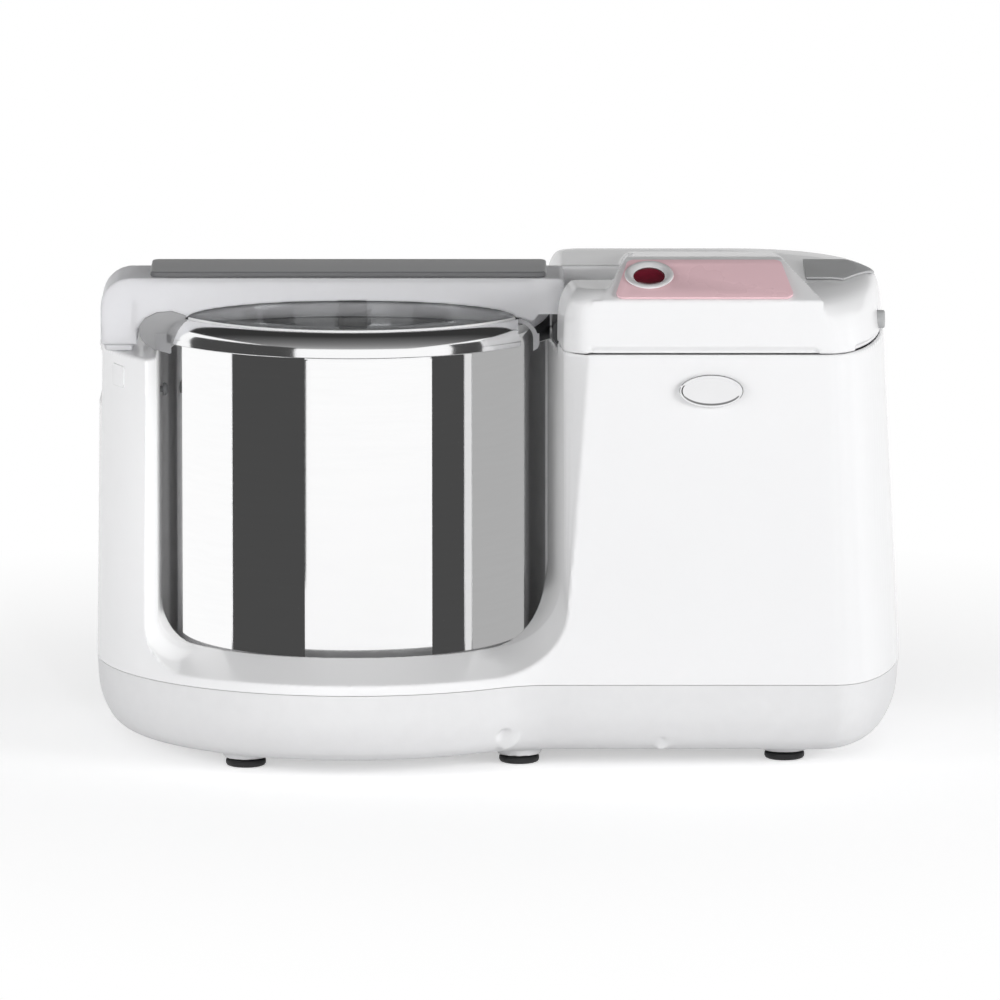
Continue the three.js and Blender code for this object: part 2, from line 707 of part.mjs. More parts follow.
function capOutline(inset, grow, z) {
  const front = TOWER_FRONT - DRAFT.front - inset.front + grow;
  const rear = REAR_DEPTH - DRAFT.rear - inset.rear + grow;
  const leftRear = CAP_LEFT_REAR + inset.left - grow;
  const leftFront = CAP_LEFT_FRONT + inset.left - grow;
  const bowEnd = TOWER_RIGHT - DRAFT.right - inset.right + grow;
  const bow = BOW_DEPTH - DRAFT.right / 2 + inset.bow;
  const corner = CAP_CORNER - inset.left * 0.5;
  const points = [
    ...arc(leftFront + corner, -front + corner, corner, 180, 270, 5),
    ...ellipseArc(bowEnd - bow, (rear - front) / 2, bow, (rear + front) / 2, -90, 90, 14),
    ...arc(leftRear + corner, rear - corner, corner, 90, 180, 5),
    new THREE.Vector2(leftRear, 0),
  ];
  return points.map((p) => new THREE.Vector3(p.x, p.y, z));
}

const capLoft = (grow, lift, low = CAP_SEAM_Z) =>
  loft(
    CAP_ROUNDING.map(([up, inset], i) =>
      capOutline(inset, grow, i ? CAP_SEAM_Z + up * CAP_TALL + lift : low),
    ),
  );

// Its cross-sections from front to rear: depth, height, left and right
const CONSOLE_ROWS = [
  [CONSOLE_FRONT_Y, CONSOLE_FRONT_Z, 0, 0],
  [CONSOLE_CREST_Y, CONSOLE_CREST_Z, 11.5, 15],
  [CONSOLE_CREST_Y + 9, CONSOLE_CREST_Z + 0.3, 12.5, 16],
  [CONSOLE_REAR_Y - 12, SHELF_Z + 2, 15, 19],
  [CONSOLE_REAR_Y, SHELF_Z - 1, 15, 19],
];
const CONSOLE_BEVEL = 4;

function consoleForm(inset) {
  const base = SHELF_Z - 14;
  const edge = SHELF_Z - 2.5 - inset;
  return loft(
    CONSOLE_ROWS.map(([depth, height, inLeft, inRight], i) => {
      const y = i ? depth : depth + inset;
      const z = height - inset * (i ? 1 : 0.55);
      const left = CONSOLE_LEFT + inLeft + inset;
      const right = CONSOLE_RIGHT - inRight - inset;
      const low = Math.min(z - 0.4, edge);
      return [
        new THREE.Vector3(left, y, base),
        new THREE.Vector3(right, y, base),
        new THREE.Vector3(right, y, low),
        new THREE.Vector3(right - CONSOLE_BEVEL, y, z),
        new THREE.Vector3(left + CONSOLE_BEVEL, y, z),
        new THREE.Vector3(left, y, low),
      ];
    }),
  );
}

const slope = Math.atan2(CONSOLE_CREST_Z - CONSOLE_FRONT_Z, CONSOLE_CREST_Y - CONSOLE_FRONT_Y);
// From the console's own plane (u right, v up the slope, w off it) to the model's axes
const ontoConsole = new THREE.Matrix4()
  .makeTranslation(0, CONSOLE_FRONT_Y, CONSOLE_FRONT_Z)
  .multiply(new THREE.Matrix4().makeRotationX(slope));
const onConsole = (geometry) => geometry.applyMatrix4(ontoConsole);

const channelBox = (grow) =>
  box(
    CAP_LEFT_REAR - 20,
    CHANNEL_RIGHT + grow,
    -ARM_FRONT - CHANNEL_GAP - grow,
    -ARM_REAR + CHANNEL_GAP + grow,
    CHANNEL_FLOOR - grow,
    SHELF_Z + 40,
  );

// Finger groove in the cap's lower edge, along its front and round its right side
function capGroove() {
  const level = CAP_ROUNDING[0][1];
  const top = CAP_SEAM_Z + GROOVE_TALL;
  const around = loft([capOutline(level, 6, CAP_SEAM_Z - 2), capOutline(level, 6, top)]);
  const within = loft([
    capOutline(level, -GROOVE_DEEP, CAP_SEAM_Z - 3),
    capOutline(level, -GROOVE_DEEP, top + 1),
  ]);
  const reach = -TOWER_FRONT - 12;
  const front = prismAlongY(
    [
      new THREE.Vector2(CONSOLE_LEFT - 4, CAP_SEAM_Z - 3),
      new THREE.Vector2(CONSOLE_RIGHT - 1, CAP_SEAM_Z - 3),
      new THREE.Vector2(CONSOLE_RIGHT - 4, top + 1),
      new THREE.Vector2(CONSOLE_LEFT, top + 1),
    ],
    reach,
    -TOWER_FRONT + 4,
  );
  const side = box(TOWER_RIGHT - 25, TOWER_RIGHT + 9, reach, REAR_DEPTH - 30, CAP_SEAM_Z - 3, top + 1);
  return common(cut(around, within), join(front, side));
}

function towerCap() {
  const outer = join(capLoft(0, 0), consoleForm(0));
  const inner = join(capLoft(-CAP_WALL, -CAP_WALL, CAP_SEAM_Z - 1), consoleForm(CAP_WALL));
  const hollow = cut(inner, channelBox(CAP_WALL));
  const shell = cut(outer, hollow, channelBox(0), hingePocket(0));
  const pin = rod(
    PIN_RADIUS + SEAT_GAP,
    new THREE.Vector3(HINGE_X, -ARM_FRONT - CHANNEL_GAP - CAP_WALL - 1, HINGE_Z),
    new THREE.Vector3(HINGE_X, -ARM_REAR + CHANNEL_GAP + CAP_WALL + 1, HINGE_Z),
    16,
  );
  const buttonHole = onConsole(cylinder(10, -12, 8, BUTTON_X, BUTTON_UP_SLOPE, 24));
  const resetHole = rod(
    RESET_RADIUS + SLIDE_GAP,
    new THREE.Vector3(TOWER_RIGHT - 30, RESET_Y, RESET_Z),
    new THREE.Vector3(TOWER_RIGHT + 5, RESET_Y, RESET_Z),
    16,
  );
  return cut(shell, pin, buttonHole, resetHole, capGroove());
}

// Grey inlay on the flat shelf, pointed at its right end
const PAD_FRONT = ARM_FRONT + 1.4;
const PAD_REAR = ARM_REAR - 15.4;

function shelfPad() {
  const left = CONSOLE_RIGHT - 8;
  const tipX = TOWER_RIGHT - 13.5;
  const zone = prism(
    [
      new THREE.Vector2(left, -PAD_FRONT),
      new THREE.Vector2(tipX - 16, -PAD_FRONT),
      new THREE.Vector2(tipX, -(PAD_FRONT + PAD_REAR) / 2 + 6),
      new THREE.Vector2(tipX - 13, -PAD_REAR),
      new THREE.Vector2(left, -PAD_REAR),
    ],
    SHELF_Z - 9,
    SHELF_Z + 9,
  );
  return cut(common(zone, capLoft(1.3, 1.3)), capLoft(SEAT_GAP, SEAT_GAP));
}

// Control panel parts, drawn in the console's own plane
function controlPanel() {
  const middle = (CONSOLE_LEFT + CONSOLE_RIGHT) / 2 - 1.5;
  const length = Math.hypot(
    CONSOLE_CREST_Z - CONSOLE_FRONT_Z,
    CONSOLE_CREST_Y - CONSOLE_FRONT_Y,
  );
  const r = 4;
  const front = (CONSOLE_RIGHT - CONSOLE_LEFT) / 2 - PANEL_MARGIN;
  const rear = front - 5;
  const points = [
    ...arc(middle + rear - r, length - 1 - r, r, 0, 90, 4),
    ...arc(middle - rear + r, length - 1 - r, r, 90, 180, 4),
    ...arc(middle - front + r, 1.5 + r, r, 180, 270, 4),
    ...arc(middle + front - r, 1.5 + r, r, 270, 360, 4),
  ];
  const plate = prism(points, SEAT_GAP, SEAT_GAP + PANEL_THICK);
  return onConsole(cut(plate, cylinder(9.9, -5, 5, BUTTON_X, BUTTON_UP_SLOPE, 24)));
}

function buttonRing() {
  const seat = SEAT_GAP * 2 + PANEL_THICK;
  const profile = [
    [BUTTON_RADIUS + SLIDE_GAP, -9],
    [9.6, -9],
    [9.6, seat],
    [RING_RADIUS, seat],
    [RING_RADIUS - 0.2, seat + 1.2],
    [RING_RADIUS - 1.2, seat + 2.2],
    [BUTTON_RADIUS + SLIDE_GAP + 0.4, seat + 2],
    [BUTTON_RADIUS + SLIDE_GAP, seat + 1.4],
  ];
  return onConsole(turned(profile, 30).translate(BUTTON_X, BUTTON_UP_SLOPE, 0));
}

function powerButton() {
  const top = 3;
  const profile = [
    [0, -5],
    [BUTTON_RADIUS, -5],
    [BUTTON_RADIUS, top - 0.6],
    [BUTTON_RADIUS - 0.7, top],
    [5, top - 1.1],
    [0, top - 1.6],
  ];
  return onConsole(turned(profile, 30).translate(BUTTON_X, BUTTON_UP_SLOPE, 0));
}

function powerSwitch() {
  const body = box(-10.5, 10.5, -10.5, 10.5, -26, -9 - SEAT_GAP);
  const prongs = [-5, 0, 5].map((x) => box(x - 0.8, x + 0.8, -2.5, 2.5, -33, -25));
  return onConsole(join(body, ...prongs).translate(BUTTON_X, BUTTON_UP_SLOPE, 0));
}

// Lid: the outside profile of skirt, round shoulder and dome, moved out by grow
function lidCurve(grow, from, to, steps) {
  const turn = arc(0, 0, 1, 0, 90, 3).map((p) => [
    LID_RADIUS - LID_TURN + (LID_TURN + grow) * p.x,
    LID_BEND_Z + (LID_SHOULDER_Z - LID_BEND_Z + grow) * p.y,
  ]);
  const dome = arc(0, 0, 1, from, to, steps).map((p) => [
    (LID_CROWN + grow) * p.x,
    LID_SHOULDER_Z + grow + LID_DOME * p.y,
  ]);
  return [...turn, ...dome];
}

function lidEar(inside, outside, side) {
  const top = LID_BEND_Z + 4;
  const points = [
    [inside, top],
    [outside - 1.5, top],
    [outside, top - 1.5],
    [outside, LID_SKIRT_Z - 0.5],
    [outside - 3, LID_SKIRT_Z - 4],
    [inside + 3.5, LID_SKIRT_Z - 5.5],
    [inside + 1, LID_SKIRT_Z - 3],
    [inside, LID_SKIRT_Z + 1],
  ].map(([x, z]) => new THREE.Vector2(side * x, z));
  return prismAlongY(points, -ARM_FRONT - 2, -ARM_FRONT + 8);
}

function lidWindow() {
  const edge = (radius) => THREE.MathUtils.radToDeg(Math.acos(LID_HOLE / radius));
  const inner = lidCurve(-LID_WALL, 0, edge(LID_CROWN - LID_WALL), 4);
  const outer = lidCurve(0, 0, edge(LID_CROWN), 4);
  const profile = [
    [LID_RADIUS - LID_WALL, LID_SKIRT_Z],
    [LID_RADIUS, LID_SKIRT_Z],
    ...outer,
    ...inner.reverse(),
  ];
  const bowl = turned(profile, 40);
  const clearOfRim = turned(
    [
      [0, LID_SKIRT_Z - 20],
      [LID_RADIUS - LID_WALL, LID_SKIRT_Z - 20],
      ...lidCurve(-LID_WALL, 0, 90, 1).slice(0, 4),
      [0, LID_SHOULDER_Z - LID_WALL],
    ],
    44,
  );
  const ears = cut(
    join(lidEar(LID_CROWN - 9, LID_CROWN + 2.5, -1), lidEar(LID_CROWN - 11, LID_CROWN - 2, 1)),
    clearOfRim,
  );
  const rearTrim = box(LID_REAR_END, LID_RADIUS + 10, -ARM_REAR + 1, LID_RADIUS, 0, SHELF_Z);
  const hingeTrim = box(
    HINGE_X - BARREL_RADIUS - RUNNING_GAP - 0.4,
    LID_RADIUS + 10,
    -ARM_FRONT - CHANNEL_GAP,
    0,
    0,
    SHELF_Z,
  );
  const cheekTrim = box(
    CAP_LEFT_FRONT - LID_CHEEK_TRIM,
    LID_RADIUS + 10,
    -ARM_FRONT - 14,
    -ARM_FRONT - CHANNEL_GAP,
    0,
    SHELF_Z,
  );
  return cut(join(bowl, ears), rearTrim, hingeTrim, cheekTrim);
}

function armOutline(grow) {
  const left = -ARM_LEFT + grow;
  const top = ARM_TOP - grow;
  const r = ARM_CORNER - grow;
  const right = ARM_RIGHT - grow;
  return { left, top, r, right };
}

function lidArm() {
  const { left, top, r, right } = armOutline(0);
  const foot = PILLAR_TOP + SEAT_GAP + LEG_RECESS;
  const shoulderFoot = HINGE_Z + BARREL_RADIUS + SEAT_GAP + 0.6;
  const outer = prismAlongY(
    [
      new THREE.Vector2(left, foot),
      ...arc(left + r, top - r, r, 180, 90, 6),
      ...arc(right - 3, top - 3, 3, 90, 0, 2),
      new THREE.Vector2(right, shoulderFoot),
      new THREE.Vector2(SHOULDER_LEFT, shoulderFoot),
      new THREE.Vector2(SHOULDER_LEFT - 2, LID_SHOULDER_Z - 1),
      new THREE.Vector2(-ARM_LEG + 4, LID_SHOULDER_Z - 1),
      new THREE.Vector2(-ARM_LEG, LID_SHOULDER_Z - 6),
      new THREE.Vector2(-ARM_LEG, foot),
    ],
    -ARM_FRONT,
    -ARM_REAR,
  );
  const w = ARM_WALL;
  const hollow = prismAlongY(
    [
      new THREE.Vector2(left + w, foot - 5),
      ...arc(left + r, top - r, r - w, 180, 90, 6),
      new THREE.Vector2(SHOULDER_LEFT - 3, top - w),
      new THREE.Vector2(SHOULDER_LEFT - 6, foot - 5),
    ],
    -ARM_FRONT + w,
    -ARM_REAR - w,
  );
  const over = lidCurve(SEAT_GAP, 0, 90, 8);
  over[over.length - 1][0] = 0;
  const underDome = turned(
    [[0, LID_SKIRT_Z - 5], [LID_RADIUS + SEAT_GAP, LID_SKIRT_Z - 5], ...over],
    48,
  );
  const legFoot = box(
    left + w - 0.3,
    -ARM_LEG - w + 0.3,
    -ARM_FRONT + w - 0.3,
    -ARM_REAR - w + 0.3,
    PILLAR_TOP + SEAT_GAP,
    foot + 2,
  );
  const legWall = box(-ARM_LEG - w, -ARM_LEG, -ARM_FRONT, -ARM_REAR, foot, LID_SHOULDER_Z + 8);
  const strap = box(
    SHOULDER_LEFT + 2,
    ARM_RIGHT - 0.5,
    -ARM_FRONT + 8,
    -ARM_REAR - 8,
    shoulderFoot - 1,
    shoulderFoot + 4,
  );
  const socket = cut(
    cylinder(HOLDER_POST + 6, LID_SHOULDER_Z - 3, ARM_TOP - 1.5, 0, 0, 28),
    cylinder(HOLDER_POST + 1.4, LID_SKIRT_Z, ARM_TOP - 4, 0, 0, 24),
  );
  const shell = join(cut(outer, hollow), common(legWall, outer), common(strap, outer), legFoot);
  return join(cut(shell, underDome), socket);
}

function handleStrip() {
  const depth = ARM_FRONT - ARM_REAR - 0.4;
  const shape = roundedRect(STRIP_LEFT + STRIP_RIGHT, depth, 4);
  return new THREE.ExtrudeGeometry(new THREE.Shape(shape), {
    depth: STRIP_THICK - SEAT_GAP - 1.6,
    bevelThickness: 0.8,
    bevelSize: 0.8,
    bevelOffset: -0.8,
    bevelSegments: 2,
  })
    .translate(
      (STRIP_RIGHT - STRIP_LEFT) / 2,
      -(ARM_FRONT + ARM_REAR) / 2,
      ARM_TOP + SEAT_GAP + 0.8,
    );
}

function hingeBarrel() {
  const from = new THREE.Vector3(HINGE_X, -ARM_FRONT, HINGE_Z);
  const to = new THREE.Vector3(HINGE_X, -ARM_REAR, HINGE_Z);
  const bore = rod(
    PIN_RADIUS + SEAT_GAP,
    from.clone().add(new THREE.Vector3(0, -2, 0)),
    to.clone().add(new THREE.Vector3(0, 2, 0)),
    20,
  );
  const web = box(
    HINGE_X - 7.5,
    ARM_RIGHT,
    -ARM_FRONT + 4,
    -ARM_REAR - 4,
    HINGE_Z + 2,
    HINGE_Z + BARREL_RADIUS + 0.6,
  );
  return cut(join(rod(BARREL_RADIUS, from, to, 28), web), bore);
}

function hingePin() {
  return rod(
    PIN_RADIUS,
    new THREE.Vector3(HINGE_X, -ARM_FRONT - CHANNEL_GAP - CAP_WALL - 1, HINGE_Z),
    new THREE.Vector3(HINGE_X, -ARM_REAR + CHANNEL_GAP + CAP_WALL + 1, HINGE_Z),
    20,
  );
}

// Drum and what turns with it
function drum() {
  const corner = 9;
  const w = DRUM_WALL;
  const outerCorner = arc(DRUM_RADIUS - corner, DRUM_BOTTOM + corner, corner, 270, 360, 3);
  const innerCorner = arc(DRUM_RADIUS - corner, DRUM_BOTTOM + corner, corner - w, 360, 270, 3);
  const neck = LID_SKIRT_Z - 3;
  const profile = [
    [0, POST_TOP - w],
    [POST_RADIUS - w, POST_TOP - w],
    [POST_RADIUS - w, DRUM_BOTTOM],
    ...outerCorner.map((p) => [p.x, p.y]),
    [DRUM_RADIUS, neck],
    [RIM_RADIUS - 2.2, neck + 8],
    [RIM_RADIUS, DRUM_RIM_Z - 1],
    [RIM_RADIUS - 1.2, DRUM_RIM_Z],
    [RIM_RADIUS - 3, DRUM_RIM_Z - 0.6],
    [RIM_RADIUS - 3.6, neck + 8.4],
    [DRUM_RADIUS - w, neck + 0.4],
    ...innerCorner.map((p) => [p.x, p.y]),
    [POST_RADIUS, DRUM_BOTTOM + w],
    [POST_RADIUS, POST_TOP],
    [0, POST_TOP],
  ];
  return turned(profile, 40);
}

function baseStone() {
  const low = DRUM_BOTTOM + DRUM_WALL + SEAT_GAP;
  return turned(
    [
      [POST_RADIUS + RUNNING_GAP, low],
      [STONE_RADIUS - 9, low],
      [STONE_RADIUS, low + 8],
      [STONE_RADIUS, STONE_TOP - 1.5],
      [STONE_RADIUS - 1.5, STONE_TOP],
      [POST_RADIUS + RUNNING_GAP, STONE_TOP],
    ],
    40,
  );
}

const tip = new THREE.Vector3(0, 0, STONE_TOP + SEAT_GAP);

function coneFrame(side) {
  const along = new THREE.Vector3(side * Math.cos(ROLLER_ANGLE), 0, Math.sin(ROLLER_ANGLE));
  const turn = new THREE.Quaternion().setFromUnitVectors(new THREE.Vector3(0, 0, 1), along);
  return (geometry) => geometry.applyQuaternion(turn).translate(tip.x, tip.y, tip.z);
}

function rollerStone(side) {
  const spread = Math.tan(ROLLER_ANGLE);
  const bore = AXLE_RADIUS + SEAT_GAP;
  return coneFrame(side)(
    turned(
      [
        [bore, ROLLER_START],
        [ROLLER_START * spread - 0.6, ROLLER_START],
        [(ROLLER_START + 1.5) * spread, ROLLER_START + 1.5],
        [(ROLLER_END - 2) * spread, ROLLER_END - 2],
        [ROLLER_END * spread - 1.6, ROLLER_END],
        [bore, ROLLER_END],
      ],
      28,
    ),
  );
}

function rollerAxle(side) {
  const start = (POST_RADIUS + 2.5) / Math.cos(ROLLER_ANGLE);
  return coneFrame(side)(
    turned(
      [
        [0, start],
        [AXLE_RADIUS, start],
        [AXLE_RADIUS, ROLLER_END + 1],
        [3, ROLLER_END + 1],
        [3, ROLLER_END + 5],
        [0, ROLLER_END + 5],
      ],
      20,
    ),
  );
}

function axleNut(side) {
  return coneFrame(side)(
    turned(
      [
        [3 + SEAT_GAP, ROLLER_END + 1 + SEAT_GAP],
        [9, ROLLER_END + 1 + SEAT_GAP],
        [9, ROLLER_END + 3],
        [6.5, ROLLER_END + 5.5],
        [3 + SEAT_GAP, ROLLER_END + 5.5],
      ],
      12,
    ),
  );
}

const SPRING_SEAT_Z = LID_SHOULDER_Z - 28;

function stoneHolder() {
  const bore = POST_RADIUS + RUNNING_GAP + 0.3;
  const roof = POST_TOP + RUNNING_GAP;
  const body = turned(
    [
      [0, roof],
      [bore, roof],
      [bore, STONE_TOP + RUNNING_GAP],
      [HOLDER_RADIUS - 2, STONE_TOP + RUNNING_GAP],
      [HOLDER_RADIUS, STONE_TOP + 3],
      [HOLDER_RADIUS, HOLDER_TOP - 5],
      [HOLDER_RADIUS - 4, HOLDER_TOP],
      [HOLDER_POST + 3, HOLDER_TOP + 2],
      [HOLDER_POST, HOLDER_TOP + 6],
      [HOLDER_POST, LID_SHOULDER_Z + 4],
      [HOLDER_POST - 2, LID_SHOULDER_Z + 7],
      [0, LID_SHOULDER_Z + 7],
    ],
    22,
  );
  const collar = ring(HOLDER_POST - 1, HOLDER_POST + 4, SPRING_SEAT_Z - 3, SPRING_SEAT_Z);
  const bores = [-1, 1].map((side) =>
    coneFrame(side)(cylinder(AXLE_RADIUS + SEAT_GAP, 5, 40, 0, 0, 20)),
  );
  return cut(join(body, collar), ...bores);
}

class Helix extends THREE.Curve {
  constructor(radius, low, high, turns) {
    super();
    Object.assign(this, { radius, low, high, turns });
  }
  getPoint(t, target = new THREE.Vector3()) {
    const angle = 2 * Math.PI * this.turns * t;
    return target.set(
      this.radius * Math.cos(angle),
      this.radius * Math.sin(angle),
      mix(this.low, this.high, t),
    );
  }
}

function holderSpring() {
  const wire = 0.9;
  const low = SPRING_SEAT_Z + 1.5;
  const path = new Helix(HOLDER_POST + wire + SEAT_GAP + 0.3, low, LID_SHOULDER_Z - 5, 5);
  const section = new THREE.Shape(arc(0, 0, wire, 0, 288, 4));
  return new THREE.ExtrudeGeometry(section, { steps: 44, bevelEnabled: false, extrudePath: path });
}

function scraper() {
  const wall = DRUM_RADIUS - DRUM_WALL - 1.2;
  const foot = STONE_TOP + 1;
  const blade = new THREE.Shape([
    new THREE.Vector2(HOLDER_RADIUS + SEAT_GAP, STONE_TOP + 16),
    new THREE.Vector2(HOLDER_RADIUS + 8, STONE_TOP + 14),
    new THREE.Vector2(wall - 18, STONE_TOP + 22),
    new THREE.Vector2(wall - 10, foot + 4),
    new THREE.Vector2(wall - 8, foot),
    new THREE.Vector2(wall, foot),
    new THREE.Vector2(wall, STONE_TOP + 58),
    new THREE.Vector2(wall - 4, STONE_TOP + 60),
    new THREE.Vector2(wall - 16, STONE_TOP + 36),
    new THREE.Vector2(HOLDER_RADIUS + 6, STONE_TOP + 27),
    new THREE.Vector2(HOLDER_RADIUS + SEAT_GAP, STONE_TOP + 27),
  ]);
  return new THREE.ExtrudeGeometry(blade, { depth: 3, bevelEnabled: false })
    .applyMatrix4(
      new THREE.Matrix4().makeBasis(
        new THREE.Vector3(0, 1, 0),
        new THREE.Vector3(0, 0, 1),
        new THREE.Vector3(1, 0, 0),
      ),
    )
    .translate(-1.5, 0, 0);
}

// Drive under the well
const HOUSING_TOP = SEAM_Z + SEAT_GAP + 0.7;

function spindle() {
  return turned(
    [
      [0, PULLEY_Z - 2],
      [SPINDLE_RADIUS, PULLEY_Z - 2],
      [SPINDLE_RADIUS, POST_TOP - DRUM_WALL - 4],
      [SPINDLE_RADIUS - 2, POST_TOP - DRUM_WALL - 1],
      [0, POST_TOP - DRUM_WALL - 1],
    ],
    24,
  );
}

function drumCoupling() {
  const bore = SPINDLE_RADIUS + SEAT_GAP;
  const hub = POST_RADIUS - DRUM_WALL - SEAT_GAP;
  return turned(
    [
      [bore, WELL_FLOOR + 2],
      [34, WELL_FLOOR + 2],
      [36, WELL_FLOOR + 3],
      [36, DRUM_BOTTOM - SEAT_GAP],
      [hub, DRUM_BOTTOM - SEAT_GAP],
      [hub, DRUM_BOTTOM + 22],
      [bore, DRUM_BOTTOM + 22],
    ],
    28,
  );
}

function spindleHousing() {
  const bore = BEARING_RADIUS + SEAT_GAP;
  const low = PULLEY_Z + PULLEY_THICK + 1.5;
  const tube = turned(
    [
      [bore, low],
      [BEARING_RADIUS + 3.2, low],
      [BEARING_RADIUS + 3.2, HOUSING_TOP - 5],
      [30, HOUSING_TOP - 3.6],
      [30, HOUSING_TOP - SEAT_GAP],
      [BEARING_RADIUS + 3.2, HOUSING_TOP - SEAT_GAP],
      [BEARING_RADIUS + 3.2, WELL_FLOOR + 1],
      [bore - 3, WELL_FLOOR + 1],
      [bore - 3, WELL_FLOOR],
      [bore, WELL_FLOOR - 0.6],
    ],
    22,
  );
  const ribs = [0, 1, 2, 3].map((i) =>
    box(BEARING_RADIUS + 1, 29, -1.2, 1.2, low + 8, HOUSING_TOP - 3).rotateZ((i * Math.PI) / 2),
  );
  return join(tube, ...ribs);
}

function bearing(low) {
  return ring(SPINDLE_RADIUS + SEAT_GAP, BEARING_RADIUS, low, low + BEARING_THICK);
}

function drivenPulley() {
  const low = PULLEY_Z;
  const high = PULLEY_Z + PULLEY_THICK;
  const bore = SPINDLE_RADIUS + SEAT_GAP;
  const rim = turned(
    [
      [bore, low],
      [16, low],
      [16, low + 3],
      [PULLEY_RADIUS - 6, low + 3],
      [PULLEY_RADIUS - 6, low],
      [PULLEY_RADIUS, low],
      [PULLEY_RADIUS, high],
      [PULLEY_RADIUS - 6, high],
      [PULLEY_RADIUS - 6, low + 6],
      [16, low + 6],
      [16, high],
      [bore, high],
    ],
    36,
  );
  const web = PULLEY_RADIUS - 6 - 16;
  const windows = [0, 1, 2, 3].map((i) =>
    cylinder(web / 2 - 13, low - 1, high + 1, 16 + web / 2, 0, 10).rotateZ((i * Math.PI) / 2),
  );
  return cut(rim, ...windows);
}

function beltOutline(large, small) {
  const lean = THREE.MathUtils.radToDeg(Math.asin((large - small) / MOTOR_X));
  return [
    ...arc(0, 0, large, 90 - lean, 270 + lean, 32),
    ...arc(MOTOR_X, 0, small, -90 + lean, 90 - lean, 8),
  ];
}

function driveBelt() {
  const low = PULLEY_Z + (PULLEY_THICK - BELT_WIDTH) / 2;
  const outside = beltOutline(
    PULLEY_RADIUS + SEAT_GAP + BELT_THICK,
    MOTOR_PULLEY + SEAT_GAP + BELT_THICK,
  );
  const inside = beltOutline(PULLEY_RADIUS + SEAT_GAP + 0.1, MOTOR_PULLEY + SEAT_GAP + 0.1);
  return cut(
    prism(outside, low, low + BELT_WIDTH),
    prism(inside, low - 1, low + BELT_WIDTH + 1),
  );
}

function motorPulley() {
  const bore = MOTOR_SHAFT + SEAT_GAP;
  const low = PULLEY_Z - 0.5;
  const high = PULLEY_Z + PULLEY_THICK + 0.5;
  return turned(
    [
      [bore, low],
      [MOTOR_PULLEY + 1, low],
      [MOTOR_PULLEY + 1, low + 0.7],
      [MOTOR_PULLEY, low + 0.9],
      [MOTOR_PULLEY, high - 0.9],
      [MOTOR_PULLEY + 1, high - 0.7],
      [MOTOR_PULLEY + 1, high],
      [7, high],
      [7, high + 6],
      [bore, high + 6],
    ],
    20,
  ).translate(MOTOR_X, 0, 0);
}

// Motor in the tower
const LOW_BELL_Z = STATOR_Z - BELL_TALL;
const HIGH_BELL_TOP = STATOR_Z + STATOR_TALL + BELL_TALL;

function motorPlate() {
  const flat = roundedRect(MOTOR_PLATE_WIDTH, MOTOR_PLATE_DEPTH, MOTOR_PLATE_CORNER);
  const plate = prism(
    flat.map((p) => new THREE.Vector2(p.x + MOTOR_X, p.y)),
    MOTOR_PLATE_Z - WALL,
    MOTOR_PLATE_Z,
  );
  const holes = [cylinder(STATOR_BORE - 6, 0, STATOR_Z, MOTOR_X, 0, 20)];
  for (let i = 0; i < 6; i++) {
    const angle = (i * Math.PI) / 3 + 0.4;
    holes.push(
      cylinder(4, 0, STATOR_Z, MOTOR_X + 33 * Math.cos(angle), 33 * Math.sin(angle), 8),
    );
  }
  return cut(plate, ...holes);
}

function endBell(low, flip) {
  const bore = MOTOR_SHAFT + RUNNING_GAP;
  const cup = turned(
    [
      [bore, 0],
      [18, 0],
      [38, 1.5],
      [STATOR_RADIUS + 1, 5],
      [STATOR_RADIUS + 1, BELL_TALL - SEAT_GAP],
      [STATOR_RADIUS - 3, BELL_TALL - SEAT_GAP],
      [STATOR_RADIUS - 3, 8],
      [18, 5],
      [12, 5],
      [12, 11],
      [bore, 11],
    ],
    20,
  );
  const vents = [0, 1, 2, 3].map((i) =>
    cylinder(6, -1, 12, 30, 0, 8).rotateZ((i * Math.PI) / 2 + 0.2),
  );
  const made = cut(cup, ...vents);
  if (flip) made.rotateX(Math.PI);
  return made.translate(MOTOR_X, 0, flip ? HIGH_BELL_TOP : low);
}

function motorStand(index) {
  const angle = (index * Math.PI) / 2 + Math.PI / 4;
  const x = MOTOR_X + (STATOR_RADIUS + 6) * Math.cos(angle);
  const y = (STATOR_RADIUS + 6) * Math.sin(angle);
  return cylinder(4, MOTOR_PLATE_Z + SEAT_GAP, STATOR_Z, x, y, 14);
}

function motorStator() {
  const stack = ring(
    STATOR_BORE,
    STATOR_RADIUS,
    STATOR_Z,
    STATOR_Z + STATOR_TALL,
    MOTOR_X,
    0,
    28,
  );
  const ears = [0, 1, 2, 3].map((i) => {
    const angle = (i * Math.PI) / 2 + Math.PI / 4;
    const x = MOTOR_X + (STATOR_RADIUS + 6) * Math.cos(angle);
    const y = (STATOR_RADIUS + 6) * Math.sin(angle);
    return join(
      cylinder(5, STATOR_Z, STATOR_Z + 8, x, y, 16),
      box(-9, 3, -4, 4, 0, 8).rotateZ(angle).translate(x, y, STATOR_Z),
    );
  });
  const stands = [0, 1, 2, 3].map(motorStand);
  const bore = cylinder(STATOR_BORE, STATOR_Z - 12, STATOR_Z + STATOR_TALL + 16, MOTOR_X, 0, 28);
  return cut(join(stack, ...ears, ...stands), bore);
}

function winding(low, high) {
  return ring(STATOR_BORE + 2, STATOR_RADIUS - 5, low, high, MOTOR_X, 0, 28);
}

